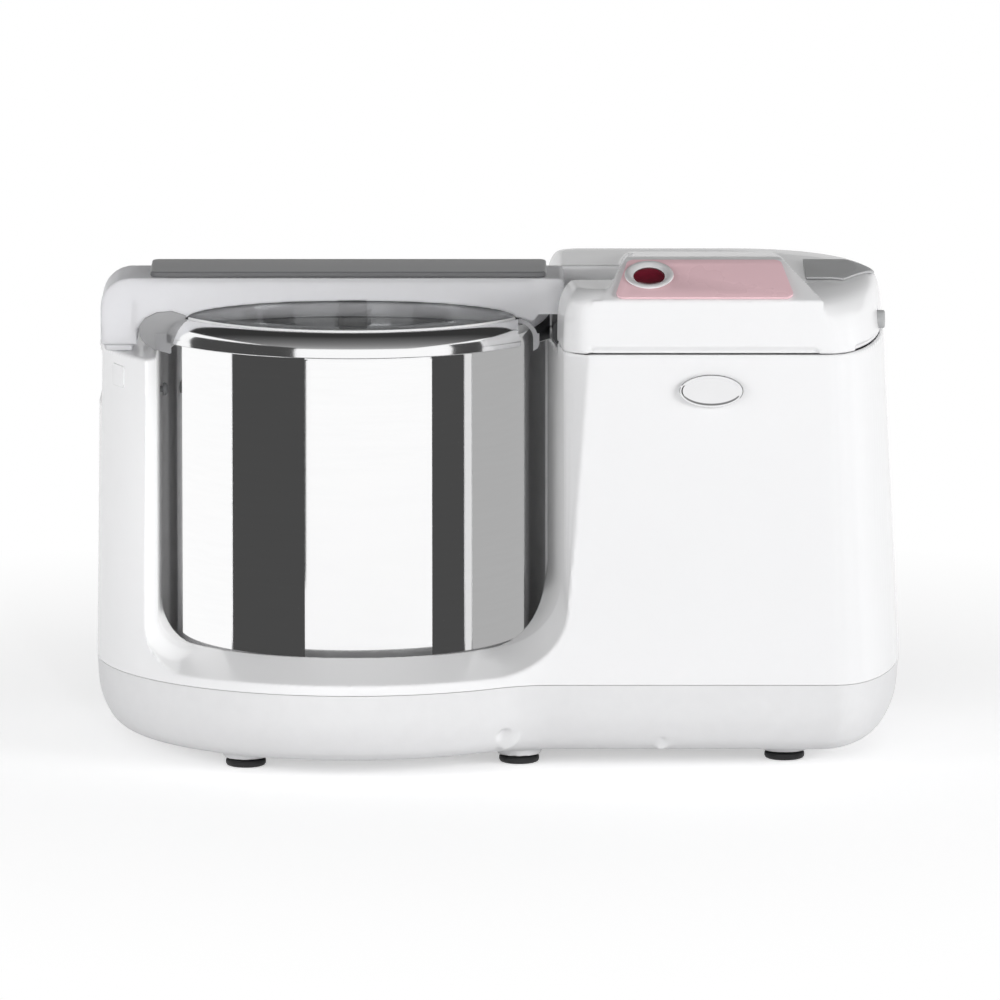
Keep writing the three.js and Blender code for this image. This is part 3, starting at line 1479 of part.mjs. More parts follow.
function motorRotor() {
  return turned(
    [
      [MOTOR_SHAFT + SEAT_GAP, STATOR_Z - 1],
      [ROTOR_RADIUS - 1.5, STATOR_Z - 1],
      [ROTOR_RADIUS, STATOR_Z + 1],
      [ROTOR_RADIUS, STATOR_Z + STATOR_TALL - 1],
      [ROTOR_RADIUS - 1.5, STATOR_Z + STATOR_TALL + 1],
      [MOTOR_SHAFT + SEAT_GAP, STATOR_Z + STATOR_TALL + 1],
    ],
    24,
  ).translate(MOTOR_X, 0, 0);
}

function motorShaft() {
  return cylinder(MOTOR_SHAFT, PULLEY_Z - 1.5, HIGH_BELL_TOP + 16, MOTOR_X, 0, 24);
}

function coolingFan() {
  const low = HIGH_BELL_TOP + 2;
  const hub = ring(MOTOR_SHAFT + SEAT_GAP, 11, low, low + 13, MOTOR_X, 0, 14);
  const disc = ring(8, FAN_RADIUS, low, low + 1.6, MOTOR_X, 0, 20);
  const blades = [];
  for (let i = 0; i < 7; i++) {
    blades.push(
      box(10, FAN_RADIUS, -0.9, 0.9, low, low + 12)
        .rotateZ((i * 2 * Math.PI) / 7)
        .translate(MOTOR_X, 0, 0),
    );
  }
  return join(hub, disc, ...blades);
}

// Electrical parts
function runCapacitor() {
  const low = MOTOR_PLATE_Z + SEAT_GAP;
  const can = turned(
    [
      [0, low],
      [CAPACITOR_RADIUS - 1, low],
      [CAPACITOR_RADIUS, low + 1],
      [CAPACITOR_RADIUS, low + CAPACITOR_TALL - 2],
      [CAPACITOR_RADIUS - 2, low + CAPACITOR_TALL],
      [0, low + CAPACITOR_TALL],
    ],
    28,
  );
  const top = low + CAPACITOR_TALL;
  const tags = [-5, 5].map((x) => box(x - 0.5, x + 0.5, -3, 3, top - 1, top + 8));
  return join(can, ...tags).translate(capacitorX, capacitorY, 0);
}
const capacitorX = MOTOR_X + MOTOR_PLATE_WIDTH / 4 + 6.5;
const capacitorY = STATOR_RADIUS + CAPACITOR_RADIUS - 1.5;

function capacitorClip() {
  const inner = CAPACITOR_RADIUS + SEAT_GAP;
  const low = MOTOR_PLATE_Z + 24;
  const band = ring(inner, inner + 1.2, low, low + 12, 0, 0, 28);
  const leg = box(-5, 5, -inner - 2.4, -inner - 0.2, MOTOR_PLATE_Z + SEAT_GAP, low + 12);
  const toe = box(-5, 5, -inner - 8, -inner - 1, MOTOR_PLATE_Z + SEAT_GAP, MOTOR_PLATE_Z + 1.9);
  return join(band, leg, toe).rotateZ(-Math.PI / 2).translate(capacitorX, capacitorY, 0);
}

function terminalBlock() {
  const low = MOTOR_PLATE_Z + SEAT_GAP;
  const base = box(-12, 12, -8, 8, low, low + 12);
  const bays = [-8, 0, 8].map((x) => box(x - 2.8, x + 2.8, -5, 10, low + 5, low + 13));
  return cut(base, ...bays).translate(MOTOR_X - 24, 62, 0);
}

// The rear wall leans in over its height
const grommetWall = REAR_DEPTH - (DRAFT.rear * (GROMMET_Z - SKIRT_TOP)) / (CAP_SEAM_Z - SKIRT_TOP);

function cordGrommet() {
  const neck = GROMMET_RADIUS - 2.5;
  const bore = 3.6;
  return turned(
    [
      [bore, -WALL - 3],
      [neck + 1.6, -WALL - 3],
      [neck + 1.6, -WALL - 1],
      [neck, -WALL - 1],
      [neck, 0.5],
      [GROMMET_RADIUS, 0.5],
      [GROMMET_RADIUS, 2],
      [GROMMET_RADIUS - 1, GROMMET_PROUD],
      [bore, GROMMET_PROUD],
    ],
    16,
  )
    .rotateX(-Math.PI / 2)
    .translate(GROMMET_X, grommetWall, GROMMET_Z);
}

function resetButton() {
  const face = resetFaceX;
  const profile = [
    [0, -8],
    [RESET_RADIUS, -8],
    [RESET_RADIUS, 1.4],
    [RESET_RADIUS - 1.2, 2.2],
    [0, 2.6],
  ];
  return turned(profile, 20)
    .rotateY(Math.PI / 2)
    .translate(face, RESET_Y, RESET_Z);
}

// Where the cap's bowed right side stands at the reset button
const bowHalf = (REAR_DEPTH - DRAFT.rear + TOWER_FRONT - DRAFT.front) / 2;
const bowMiddle = (REAR_DEPTH - DRAFT.rear - TOWER_FRONT + DRAFT.front) / 2;
const resetFaceX =
  TOWER_RIGHT -
  DRAFT.right -
  (BOW_DEPTH - DRAFT.right / 2) *
    (1 - Math.sqrt(1 - ((RESET_Y - bowMiddle) / bowHalf) ** 2)) -
  0.5;

function overloadProtector() {
  const back = resetFaceX - 8.6 - SEAT_GAP - RESET_TRAVEL;
  const body = box(back - 26, back, RESET_Y - 9, RESET_Y + 9, RESET_Z - 9, RESET_Z + 9);
  const guide = ring(RESET_RADIUS + SLIDE_GAP, RESET_RADIUS + 2, 0, RESET_TRAVEL + 4, 0, 0, 20)
    .rotateY(Math.PI / 2)
    .translate(back - 0.5, RESET_Y, RESET_Z);
  const tags = [-4, 4].map((y) =>
    box(back - 33, back - 25, RESET_Y + y - 0.5, RESET_Y + y + 0.5, RESET_Z - 3, RESET_Z + 3),
  );
  return join(body, guide, ...tags);
}

function sideBumper() {
  return turned(
    [
      [0, -WALL - 2.5],
      [2.8, -WALL - 2.5],
      [2.8, -WALL - 1],
      [1.5, -WALL - 0.8],
      [1.5, 0.8],
      [BUMPER_RADIUS, 0.8],
      [BUMPER_RADIUS, 2.2],
      [BUMPER_RADIUS - 1, 3.2],
      [0, 3.5],
    ],
    14,
  )
    .rotateY(Math.PI / 2)
    .rotateZ(BUMPER_ANGLE - Math.PI)
    .translate(WELL_RADIUS * Math.cos(BUMPER_ANGLE), WELL_RADIUS * Math.sin(BUMPER_ANGLE), BUMPER_Z);
}

function frontPlate() {
  const level = (depth, inset) => {
    const r = PLATE_TALL / 2 - inset;
    const half = (PLATE_WIDTH - PLATE_TALL) / 2;
    return [...arc(half, 0, r, -90, 90, 10), ...arc(-half, 0, r, 90, 270, 10)].map(
      (p) => new THREE.Vector3(PLATE_X + p.x, -TOWER_FRONT - SEAT_GAP + depth, PLATE_Z + p.y),
    );
  };
  return facingOut(loft([level(0.6, 0.3), level(-0.6, 0), level(-1.3, 0.4), level(-1.6, 1.2)]));
}

// The assembly
const grinder = new THREE.Group();
grinder.name = "wet_grinder";
grinder.position.set(
  (FRONT_RADIUS - TOWER_RIGHT) / 2,
  (FRONT_RADIUS - grommetWall - GROMMET_PROUD) / 2,
  0,
);

function place(name, geometry, material, parent = grinder) {
  const mesh = new THREE.Mesh(geometry, material);
  mesh.name = name;
  parent.add(mesh);
  return mesh;
}

function subgroup() {
  const group = new THREE.Group();
  grinder.add(group);
  return group;
}

const base = subgroup();
place("base_pan", basePan(), panWhite, base);
FEET.forEach(([x, y], i) => {
  place("foot_" + (i + 1), foot(), rubberBlack, base).position.set(x, y, 0);
});
screws.forEach(({ x, y }, i) => {
  place("base_screw_" + (i + 1), baseScrew(), plainSteel, base).position.set(x, y, 0);
});

const body = subgroup();
place("main_housing", mainHousing(), glossWhite, body);
place("front_plate", frontPlate(), chrome, body);
place("latch_button", latchButton(), glossWhite, body);
place("side_bumper", sideBumper(), rubberBlack, body);
place("cord_grommet", cordGrommet(), rubberBlack, body);

const top = subgroup();
place("tower_cap", towerCap(), glossWhite, top);
place("shelf_pad", shelfPad(), padGrey, top);
place("control_panel", controlPanel(), panelPink, top);
place("button_ring", buttonRing(), chrome, top);
place("power_button", powerButton(), buttonRed, top);
place("power_switch", powerSwitch(), blackPlastic, top);
place("reset_button", resetButton(), blackPlastic, top);
place("overload_protector", overloadProtector(), blackPlastic, top);
place("hinge_pin", hingePin(), plainSteel, top);

const lid = subgroup();
place("lid_arm", lidArm(), frostClear, lid);
place("lid_window", lidWindow(), lidClear, lid);
place("lid_handle_strip", handleStrip(), gripGrey, lid);
place("lid_hinge_barrel", hingeBarrel(), blackPlastic, lid);

const turning = subgroup();
place("drum", drum(), polishedSteel, turning);
place("base_stone", baseStone(), granite, turning);
place("drum_coupling", drumCoupling(), castAluminium, turning);
place("spindle", spindle(), plainSteel, turning);
place("driven_pulley", drivenPulley(), blackPlastic, turning);

const stones = subgroup();
place("stone_holder", stoneHolder(), nylonWhite, stones);
place("holder_spring", holderSpring(), plainSteel, stones);
place("scraper", scraper(), nylonWhite, stones);
for (const [word, side] of [
  ["left", -1],
  ["right", 1],
]) {
  place("roller_stone_" + word, rollerStone(side), granite, stones);
  place("roller_axle_" + word, rollerAxle(side), plainSteel, stones);
  place("axle_nut_" + word, axleNut(side), nylonWhite, stones);
}

const drive = subgroup();
place("spindle_housing", spindleHousing(), castAluminium, drive);
place("lower_bearing", bearing(PULLEY_Z + PULLEY_THICK + 1.5), plainSteel, drive);
place("upper_bearing", bearing(WELL_FLOOR - BEARING_THICK - 1), plainSteel, drive);
place("drive_belt", driveBelt(), rubberBlack, drive);
place("motor_pulley", motorPulley(), castAluminium, drive);
place("motor_shaft", motorShaft(), plainSteel, drive);
place("motor_rotor", motorRotor(), lamination, drive);
place("motor_stator", motorStator(), lamination, drive);
place("lower_winding", winding(STATOR_Z - 9, STATOR_Z - SEAT_GAP), copper, drive);
place(
  "upper_winding",
  winding(STATOR_Z + STATOR_TALL + SEAT_GAP, STATOR_Z + STATOR_TALL + 9),
  copper,
  drive,
);
place("lower_end_bell", endBell(LOW_BELL_Z, false), castAluminium, drive);
place("upper_end_bell", endBell(LOW_BELL_Z, true), castAluminium, drive);
place("cooling_fan", coolingFan(), nylonWhite, drive);
place("motor_plate", motorPlate(), plainSteel, drive);
place("run_capacitor", runCapacitor(), nylonWhite, drive);
place("capacitor_clip", capacitorClip(), plainSteel, drive);
place("terminal_block", terminalBlock(), nylonWhite, drive);

export default grinder;
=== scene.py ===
# %% [markdown]
# # A tabletop wet grinder
#
# A wet grinder turns a steel drum under two heavy roller stones, and grinds soaked rice and
# pulses to batter. A belt from a motor in the tower drives the drum. The measured solids are
# loaded first. They fix every place and size, and the cells below are about shape and looks.

# %% Load the measured solids
import json
import math

import bmesh
import bpy
from mathutils import Matrix, Vector
from mathutils.bvhtree import BVHTree


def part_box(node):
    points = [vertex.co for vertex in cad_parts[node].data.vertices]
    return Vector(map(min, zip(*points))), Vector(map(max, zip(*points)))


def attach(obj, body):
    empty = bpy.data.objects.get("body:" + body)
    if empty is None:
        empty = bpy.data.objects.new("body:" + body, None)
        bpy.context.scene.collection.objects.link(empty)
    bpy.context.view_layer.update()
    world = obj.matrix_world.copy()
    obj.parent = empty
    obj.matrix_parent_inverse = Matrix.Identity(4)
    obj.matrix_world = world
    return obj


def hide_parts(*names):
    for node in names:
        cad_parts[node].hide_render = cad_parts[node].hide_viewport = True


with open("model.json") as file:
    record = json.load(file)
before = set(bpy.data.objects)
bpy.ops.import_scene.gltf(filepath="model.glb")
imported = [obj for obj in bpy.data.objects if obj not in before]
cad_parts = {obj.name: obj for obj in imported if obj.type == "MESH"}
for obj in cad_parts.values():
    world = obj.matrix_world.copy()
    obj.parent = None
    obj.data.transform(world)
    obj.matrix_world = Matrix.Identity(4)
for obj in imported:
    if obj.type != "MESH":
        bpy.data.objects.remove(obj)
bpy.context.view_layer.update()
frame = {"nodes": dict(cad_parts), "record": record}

# %% [markdown]
# ## The camera
#
# The picture was taken from far away with a long lens, a little above the table: upright edges
# stay parallel and the round lid shows as a thin ellipse. So the camera stands six metres off,
# 9.3 degrees up, with a lens that gives two pixels to a millimetre at the drum.

# %% Camera
CAMERA_FAR = 6.0
CAMERA_RISE = math.radians(9.3)
LENS, SENSOR_WIDTH = 432, 36

scene = bpy.context.scene
camera_data = bpy.data.cameras.new("camera")
camera_data.lens = LENS
camera_data.sensor_width = SENSOR_WIDTH
camera = bpy.data.objects.new("camera", camera_data)
scene.collection.objects.link(camera)
scene.camera = camera
drum_low, drum_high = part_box("drum")
AXIS = Vector(((drum_low.x + drum_high.x) / 2, (drum_low.y + drum_high.y) / 2, 0))
PICTURE_MIDDLE = AXIS + Vector((0.0735, -0.012434, 0.122))
camera.location = PICTURE_MIDDLE + CAMERA_FAR * Vector((0, -math.cos(CAMERA_RISE), math.sin(CAMERA_RISE)))
camera.rotation_euler = (math.pi / 2 - CAMERA_RISE, 0, 0)
print("drum axis at", [round(c, 4) for c in AXIS])

# %% [markdown]
# ## Shader nodes
#
# The world, the floor, the cards and every finish are shaders made of nodes. These helpers make
# a node with its inputs set, and tell by which kind of ray a thing is seen.

# %% Node helpers


def emptied(owner):
    """The node tree of a world or a material, with nothing in it."""
    owner.use_nodes = True
    owner.node_tree.nodes.clear()
    return owner.node_tree


def wired(tree, made, *sources, **sockets):
    """Sets a node's inputs, first in order and then by name, to numbers or to other nodes."""
    named = [(made.inputs[name.replace("_", " ")], value) for name, value in sockets.items()]
    for socket, value in [*zip(made.inputs, sources), *named]:
        if isinstance(value, bpy.types.Node):
            value = value.outputs[0]
        if isinstance(value, bpy.types.NodeSocket):
            tree.links.new(value, socket)
        else:
            socket.default_value = value
    return made


def node(tree, kind, *sources, **sockets):
    """A new shader node with its inputs set."""
    return wired(tree, tree.nodes.new(f"ShaderNode{kind}"), *sources, **sockets)


def any_ray(tree, *kinds):
    """1 for rays of the kinds named and 0 for all others."""
    rays = node(tree, "LightPath")
    found = rays.outputs[f"Is {kinds[0]} Ray"]
    for kind in kinds[1:]:
        found = node(tree, "Math", found, rays.outputs[f"Is {kind} Ray"])
        found.operation = "MAXIMUM"
    return found


# %% [markdown]
# ## Light
#
# White plastic shows its form by soft grey steps. The large main lamp stands low to the front
# and right, so the upright faces are bright, the tops, which it grazes, are greyer, and what
# faces left is greyer too. A narrow spot reaches into the gap beside the drum. The world fills
# the rest and is white where it is seen.

# %% World and lamps
WORLD_FILL = 0.6
LAMP_TARGET = (0, 0, 0.12)
SPOT_TARGET = (-0.172, -0.03, 0.12)

scene.view_settings.view_transform = "Standard"
world = bpy.data.worlds.new("studio")
scene.world = world
tree = emptied(world)
seen = node(tree, "Background", Color=(1, 1, 1, 1), Strength=1.0)
fill = node(tree, "Background", Color=(0.98, 0.985, 1, 1), Strength=WORLD_FILL)
in_view = any_ray(tree, "Camera", "Glossy", "Transmission")
node(tree, "OutputWorld", node(tree, "MixShader", in_view, fill, seen))


def lamp(name, kind, where, target, watts):
    """A lamp that stands at one place, shines at another and shows in no mirror."""
    data = bpy.data.lights.new(name, kind)
    data.energy = watts
    made = bpy.data.objects.new(name, data)
    made.location = where
    made.rotation_euler = (Vector(target) - Vector(where)).to_track_quat("-Z", "Y").to_euler()
    made.visible_glossy = False
    scene.collection.objects.link(made)
    return data


def softbox(name, where, width, watts):
    """A large soft lamp turned to the grinder."""
    data = lamp(name, "AREA", where, LAMP_TARGET, watts)
    data.shape = "RECTANGLE"
    data.size, data.size_y = width, 1.2


softbox("front_box", (-0.4, -2.8, 0.8), 1.8, 16)
softbox("right_box", (2.5, -1.6, 0.8), 1.4, 52)
softbox("left_box", (-2.4, -1.2, 0.8), 1.4, 21)
pillar_spot = lamp("pillar_spot", "SPOT", (0.3, -3.0, 0.55), SPOT_TARGET, 150)
pillar_spot.spot_size = math.radians(5)
pillar_spot.spot_blend = 0.9
pillar_spot.shadow_soft_size = 0.1

# %% [markdown]
# A polished drum shows nothing of its own: it shows the room. Two dark cards stand before it,
# left and right of the view, as a photographer puts them, and give it two dark bands. A
# ceiling that darkens to the rear and a grey card behind do the same for the lid's rim. They
# show in mirrors only and throw no shadow. The ceiling also dims the light on the tops.

# %% Floor and cards
FLOOR_REACH, FLOOR_LIFT = 9, 0.46
SWEEP_START, SWEEP_END = 0.12, 0.62
CARD_FAR, CARD_TALL, CARD_DARK = 0.42, 0.34, 0.065
ROOM_SIDE, ROOM_FRONT, ROOM_BACK, ROOM_TOP = 2.2, -3.6, 1.6, 1.5
CEILING_DARK_Y, BACK_CARD_FOOT = 0.2, 0.56


def plane(name, corners):
    """A flat card through four corners, in metres."""
    mesh = bpy.data.meshes.new(name)
    mesh.from_pydata([tuple(c) for c in corners], [], [(0, 1, 2, 3)])
    card = bpy.data.objects.new(name, mesh)
    scene.collection.objects.link(card)
    return card


def level_plane(name, side, front, back, z):
    """A card that lies level at height z."""
    return plane(name, [(-side, front, z), (side, front, z), (side, back, z), (-side, back, z)])


floor = level_plane("floor", FLOOR_REACH, -FLOOR_REACH, FLOOR_REACH, 0)
floor_look = bpy.data.materials.new("pale_floor")
tree = emptied(floor_look)
matt = node(tree, "BsdfDiffuse", Color=(0.86, 0.86, 0.865, 1))
lift = node(tree, "Emission", Strength=FLOOR_LIFT)
away = node(tree, "VectorMath", node(tree, "TexCoord").outputs["Object"])
away.operation = "LENGTH"
fade = node(tree, "MapRange", away.outputs["Value"], From_Min=SWEEP_START, From_Max=SWEEP_END)
sweep = node(tree, "MixShader", fade, node(tree, "AddShader", matt, lift), node(tree, "Emission"))
node(tree, "OutputMaterial", node(tree, "MixShader", any_ray(tree, "Camera", "Glossy"), matt, sweep))
floor.data.materials.append(floor_look)


def card_in(card, level, far_level=None, along=(0, 1)):
    """Gives a card a grey, even or turning to another along y, and shows it in mirrors only."""
    look = bpy.data.materials.new(card.name)
    tree = emptied(look)
    glow = node(tree, "Emission", Strength=level)
    if far_level is not None:
        split = node(tree, "SeparateXYZ", node(tree, "TexCoord").outputs["Object"])
        shade = node(tree, "MapRange", split.outputs["Y"], From_Min=along[0], From_Max=along[1],
                     To_Min=level, To_Max=far_level)
        wired(tree, glow, Strength=shade)
    node(tree, "OutputMaterial", glow)
    card.data.materials.append(look)
    for kind in ("camera", "diffuse", "transmission", "shadow"):
        setattr(card, f"visible_{kind}", False)


def dark_card(name, first, last):
    """A card between two bearings, in degrees to the right of the camera's own from the drum."""
    turns = [math.radians(bearing) for bearing in (first, last)]
    left, right = [AXIS + CARD_FAR * Vector((math.sin(t), -math.cos(t), 0)) for t in turns]
    up = Vector((0, 0, CARD_TALL))
    card_in(plane(name, [left, right, right + up, left + up]), CARD_DARK)


dark_card("left_card", -88, -27.3)
dark_card("right_card", 49.5, 84)
ceiling = level_plane("ceiling", ROOM_SIDE, ROOM_FRONT, ROOM_BACK, ROOM_TOP)
card_in(ceiling, 0.45, 0.035, (ROOM_FRONT, CEILING_DARK_Y))
ceiling.visible_diffuse = True
back_corners = [(-1, BACK_CARD_FOOT), (1, BACK_CARD_FOOT), (1, ROOM_TOP), (-1, ROOM_TOP)]
card_in(plane("back_card", [(side * ROOM_SIDE, ROOM_BACK, z) for side, z in back_corners]), 0.14)

# %% [markdown]
# ## Building meshes
#
# Every form below is drawn in millimetres about the drum's axis, and moved into place as its
# mesh is made. Three ways cover the whole machine: a stack of outlines, a profile turned about
# an axis, and carving one closed form out of another. Moulded shells then pass through a fine
# voxel remesh and a light smoothing, which rounds each edge by a millimetre or two.

# %% Mesh helpers
MM = 0.001


def home(point):
    """A point about the drum's axis in millimetres, in the frame's own metres."""
    return (point[0] * MM + AXIS.x, point[1] * MM + AXIS.y, point[2] * MM)


def solid(name, points, faces):
    """A mesh object from points in millimetres, with its faces turned outwards."""
    mesh = bpy.data.meshes.new(name)
    mesh.from_pydata([home(p) for p in points], [], faces)
    tidy = bmesh.new()
    tidy.from_mesh(mesh)
    bmesh.ops.remove_doubles(tidy, verts=tidy.verts, dist=1e-6)
    bmesh.ops.recalc_face_normals(tidy, faces=tidy.faces)
    tidy.to_mesh(mesh)
    tidy.free()
    made = bpy.data.objects.new(name, mesh)
    scene.collection.objects.link(made)
    return made


def bands(count, rows, gaps):
    """Faces between rows of count points; a gap after the last row leads to the first."""
    faces = []
    for row in range(gaps):
        low, high = row * count, (row + 1) % rows * count
        faces += [(low + i, low + (i + 1) % count, high + (i + 1) % count, high + i) for i in range(count)]
    return faces


def loft(name, sections):
    """A closed form through sections with as many points each."""
    count, rows = len(sections[0]), len(sections)
    points = [p for section in sections for p in section]
    ends = [tuple(reversed(range(count))), tuple(range((rows - 1) * count, rows * count))]
    return solid(name, points, bands(count, rows, rows - 1) + ends)


def turned(name, profile, sides=96, centre=(0, 0)):
    """A profile of (radius, height) pairs turned about an upright axis."""
    points = []
    for radius, height in profile:
        for s in range(sides):
            angle = 2 * math.pi * s / sides
            x, y = centre[0] + radius * math.cos(angle), centre[1] + radius * math.sin(angle)
            points.append((x, y, height))
    rows = len(profile)
    closed = profile[0][0] > 0 and profile[-1][0] > 0
    return solid(name, points, bands(sides, rows, rows if closed else rows - 1))


def cylinder(name, radius, z0, z1, sides=48, centre=(0, 0)):
    """An upright cylinder."""
    return turned(name, [(0, z0), (radius, z0), (radius, z1), (0, z1)], sides, centre)


def block(name, x0, x1, y0, y1, z0, z1):
    """A box between two corners."""
    points = [(x, y, z) for z in (z0, z1) for y in (y0, y1) for x in (x0, x1)]
    faces = [(0, 2, 3, 1), (4, 5, 7, 6), (0, 1, 5, 4), (2, 6, 7, 3), (0, 4, 6, 2), (1, 3, 7, 5)]
    return solid(name, points, faces)


def slab(name, z0, z1):
    """A block wider than the whole grinder."""
    return block(name, -200, 300, -200, 200, z0, z1)


def along_y(name, outline, y0, y1):
    """An outline in x and z, pushed from y0 to y1."""
    return loft(name, [[(x, y, z) for x, z in outline] for y in (y0, y1)])


def plate(name, outline, low, high):
    """An outline in x and y, pushed from low to high."""
    return loft(name, [[(x, y, z) for x, y in outline] for z in (low, high)])


def round_outline(u, v, radius, sides):
    """Points all round a circle."""
    return arc(u, v, radius, 0, 360 - 360 / sides, sides - 1)


def bar_along_y(name, radius, x, z, y0, y1, sides=32):
    """A round bar along y."""
    return along_y(name, round_outline(x, z, radius, sides), y0, y1)


def bar_along_x(name, radius, y, z, x0, x1):
    """A round bar along x."""
    return loft(name, [[(x, b, c) for b, c in round_outline(y, z, radius, 32)] for x in (x0, x1)])


def moved(piece, matrix):
    """Moves a piece by a matrix that holds about the drum's axis, in metres."""
    shift = Matrix.Translation(AXIS)
    piece.data.transform(shift @ matrix @ shift.inverted())
    return piece


def modified(piece, kind, **settings):
    """Runs a modifier on a piece and puts the result into its mesh."""
    step = piece.modifiers.new(kind, kind)
    for name, value in settings.items():
        setattr(step, name, value)
    graph = bpy.context.evaluated_depsgraph_get()
    mesh = bpy.data.meshes.new_from_object(piece.evaluated_get(graph))
    piece.modifiers.clear()
    piece.data = mesh
    mesh.name = piece.name
    return piece


def combine(piece, others, how):
    """Adds others to a piece, or takes them away, and removes them."""
    for other in others:
        modified(piece, "BOOLEAN", operation=how, solver="MANIFOLD", object=other)
        bpy.data.objects.remove(other)
    return piece


def carve(piece, *tools):
    """Takes tools away from a piece."""
    return combine(piece, tools, "DIFFERENCE")


def add(piece, *others):
    """Joins others to a piece."""
    return combine(piece, others, "UNION")


def keep_inside(piece, other):
    """Keeps what a piece has in common with another."""
    return combine(piece, [other], "INTERSECT")


def smooth(piece, degrees=40):
    """Smooth shading, with edges sharper than that left crisp."""
    piece.data.shade_smooth()
    piece.data.set_sharp_from_angle(angle=math.radians(degrees))
    return piece


def moulded(piece, voxel, passes, triangles):
    """Rounds a closed form all over, as moulded plastic is."""
    modified(piece, "REMESH", mode="VOXEL", voxel_size=voxel * MM)
    modified(piece, "SMOOTH", factor=0.5, iterations=passes)
    count = len(piece.data.polygons) * 2
    if count > triangles:
        modified(piece, "DECIMATE", ratio=triangles / count)
    piece.data.shade_smooth()
    print(piece.name, "has", len(piece.data.polygons), "faces")


def bevelled(piece, width, segments=3, degrees=30):
    """Rounds the crisp edges of a clean mesh."""
    modified(piece, "BEVEL", width=width * MM, segments=segments, limit_method="ANGLE",
             angle_limit=math.radians(degrees))
    return smooth(piece)


def arc(cx, cy, radius, start, end, steps):
    """Points along an arc, in degrees."""
    angles = [math.radians(start + (end - start) * i / steps) for i in range(steps + 1)]
    return [(cx + radius * math.cos(a), cy + radius * math.sin(a)) for a in angles]


def oval_arc(cx, cy, across, up, start, end, steps):
    """Points along part of an ellipse."""
    return [(cx + across * x, cy + up * y) for x, y in arc(0, 0, 1, start, end, steps)]


def rounded_rect(width, height, radius):
    """A rectangle with round corners, about its middle."""
    x, y = width / 2 - radius, height / 2 - radius
    corners = [(x, y, 0), (-x, y, 90), (-x, -y, 180), (x, -y, 270)]
    return [p for cx, cy, a in corners for p in arc(cx, cy, radius, a, a + 90, 8)]


def mix(a, b, share):
    """The value a share of the way from a to b."""
    return a + (b - a) * share


def clamp(value):
    """The value kept between 0 and 1."""
    return max(0.0, min(1.0, value))


# %% [markdown]
# ## Finishes
#
# One helper makes every finish. A soft noise shifts the colour and the roughness a little, and
# a fine one gives the surface its grain, so that no surface is one flat tone. Plastics and
# rubber come first, then metals and stone, then the lid.

# %% Finishes
MIX_FIRST, MIX_SECOND, MIX_RESULT = 6, 7, 2
looks = {}


def finish(name, colour, rough, metal=0.0, tone=0.03, patch=25, spread=0.04, grain=0.0,
           grain_size=0.6, stretch=(1, 1, 1), **sockets):
    """A procedural finish. patch and grain_size are sizes in millimetres, grain a depth in mm."""
    look = bpy.data.materials.new(name)
    look.use_nodes = True
    tree = look.node_tree
    scale = node(tree, "Mapping", node(tree, "TexCoord").outputs["Object"], Scale=stretch)
    cloud = node(tree, "TexNoise", scale, Scale=1000 / patch, Detail=3)
    tint = node(tree, "Mix", cloud)
    tint.data_type = "RGBA"
    for socket, change in ((MIX_FIRST, 1 - tone), (MIX_SECOND, 1 + tone)):
        tint.inputs[socket].default_value = (*[min(1, c * change) for c in colour], 1)
    dull = node(tree, "MapRange", cloud, To_Min=max(0.0, rough - spread), To_Max=min(1.0, rough + spread))
    shader = wired(tree, tree.nodes["Principled BSDF"], tint.outputs[MIX_RESULT], Metallic=metal,
                   Roughness=dull, **sockets)
    if grain:
        fine = node(tree, "TexNoise", scale, Scale=1000 / grain_size, Detail=2)
        wired(tree, shader, Normal=node(tree, "Bump", Strength=1.0, Distance=grain * MM, Height=fine))
    looks[name] = look
    return look


def see_through(look):
    """Lets lamp light pass a clear finish, so that what lies under it is lit."""
    tree = look.node_tree
    clear = node(tree, "BsdfTransparent", Color=(0.6, 0.6, 0.61, 1))
    shown = node(tree, "MixShader", any_ray(tree, "Shadow"), tree.nodes["Principled BSDF"], clear)
    wired(tree, tree.nodes["Material Output"], shown)


finish("gloss_white", (0.86, 0.86, 0.865), 0.22, tone=0.008, patch=60, spread=0.03, grain=0.004, grain_size=6)
finish("pan_white", (0.76, 0.76, 0.765), 0.5, patch=8, spread=0.05, grain=0.03, grain_size=0.9)
finish("rubber_black", (0.012, 0.012, 0.013), 0.6, tone=0.2, patch=5, grain=0.02, grain_size=0.7)
finish("grip_grey", (0.42, 0.422, 0.425), 0.45, patch=40, grain=0.003, grain_size=2, Specular_IOR_Level=0.2)
# A darker copy of the grip's grey: painted shade on the grip's front and back faces, and the bumper's own
# dark rubber.
finish("grip_shade_and_dark_rubber", (0.13, 0.132, 0.135), 0.45, patch=40)
finish("pad_grey", (0.46, 0.465, 0.467), 0.42, tone=0.06, patch=6, grain=0.01, grain_size=0.8)
finish("panel_pink", (0.86, 0.59, 0.63), 0.28, patch=30, grain=0.004, grain_size=1.2)
finish("button_red", (0.14, 0.008, 0.02), 0.12, tone=0.2, patch=4, spread=0.02, Coat_Weight=0.6)
finish("black_plastic", (0.025, 0.026, 0.028), 0.45, tone=0.1, patch=6, grain=0.01, grain_size=0.8)
finish("nylon_white", (0.72, 0.72, 0.69), 0.45, patch=8, grain=0.01, grain_size=1)

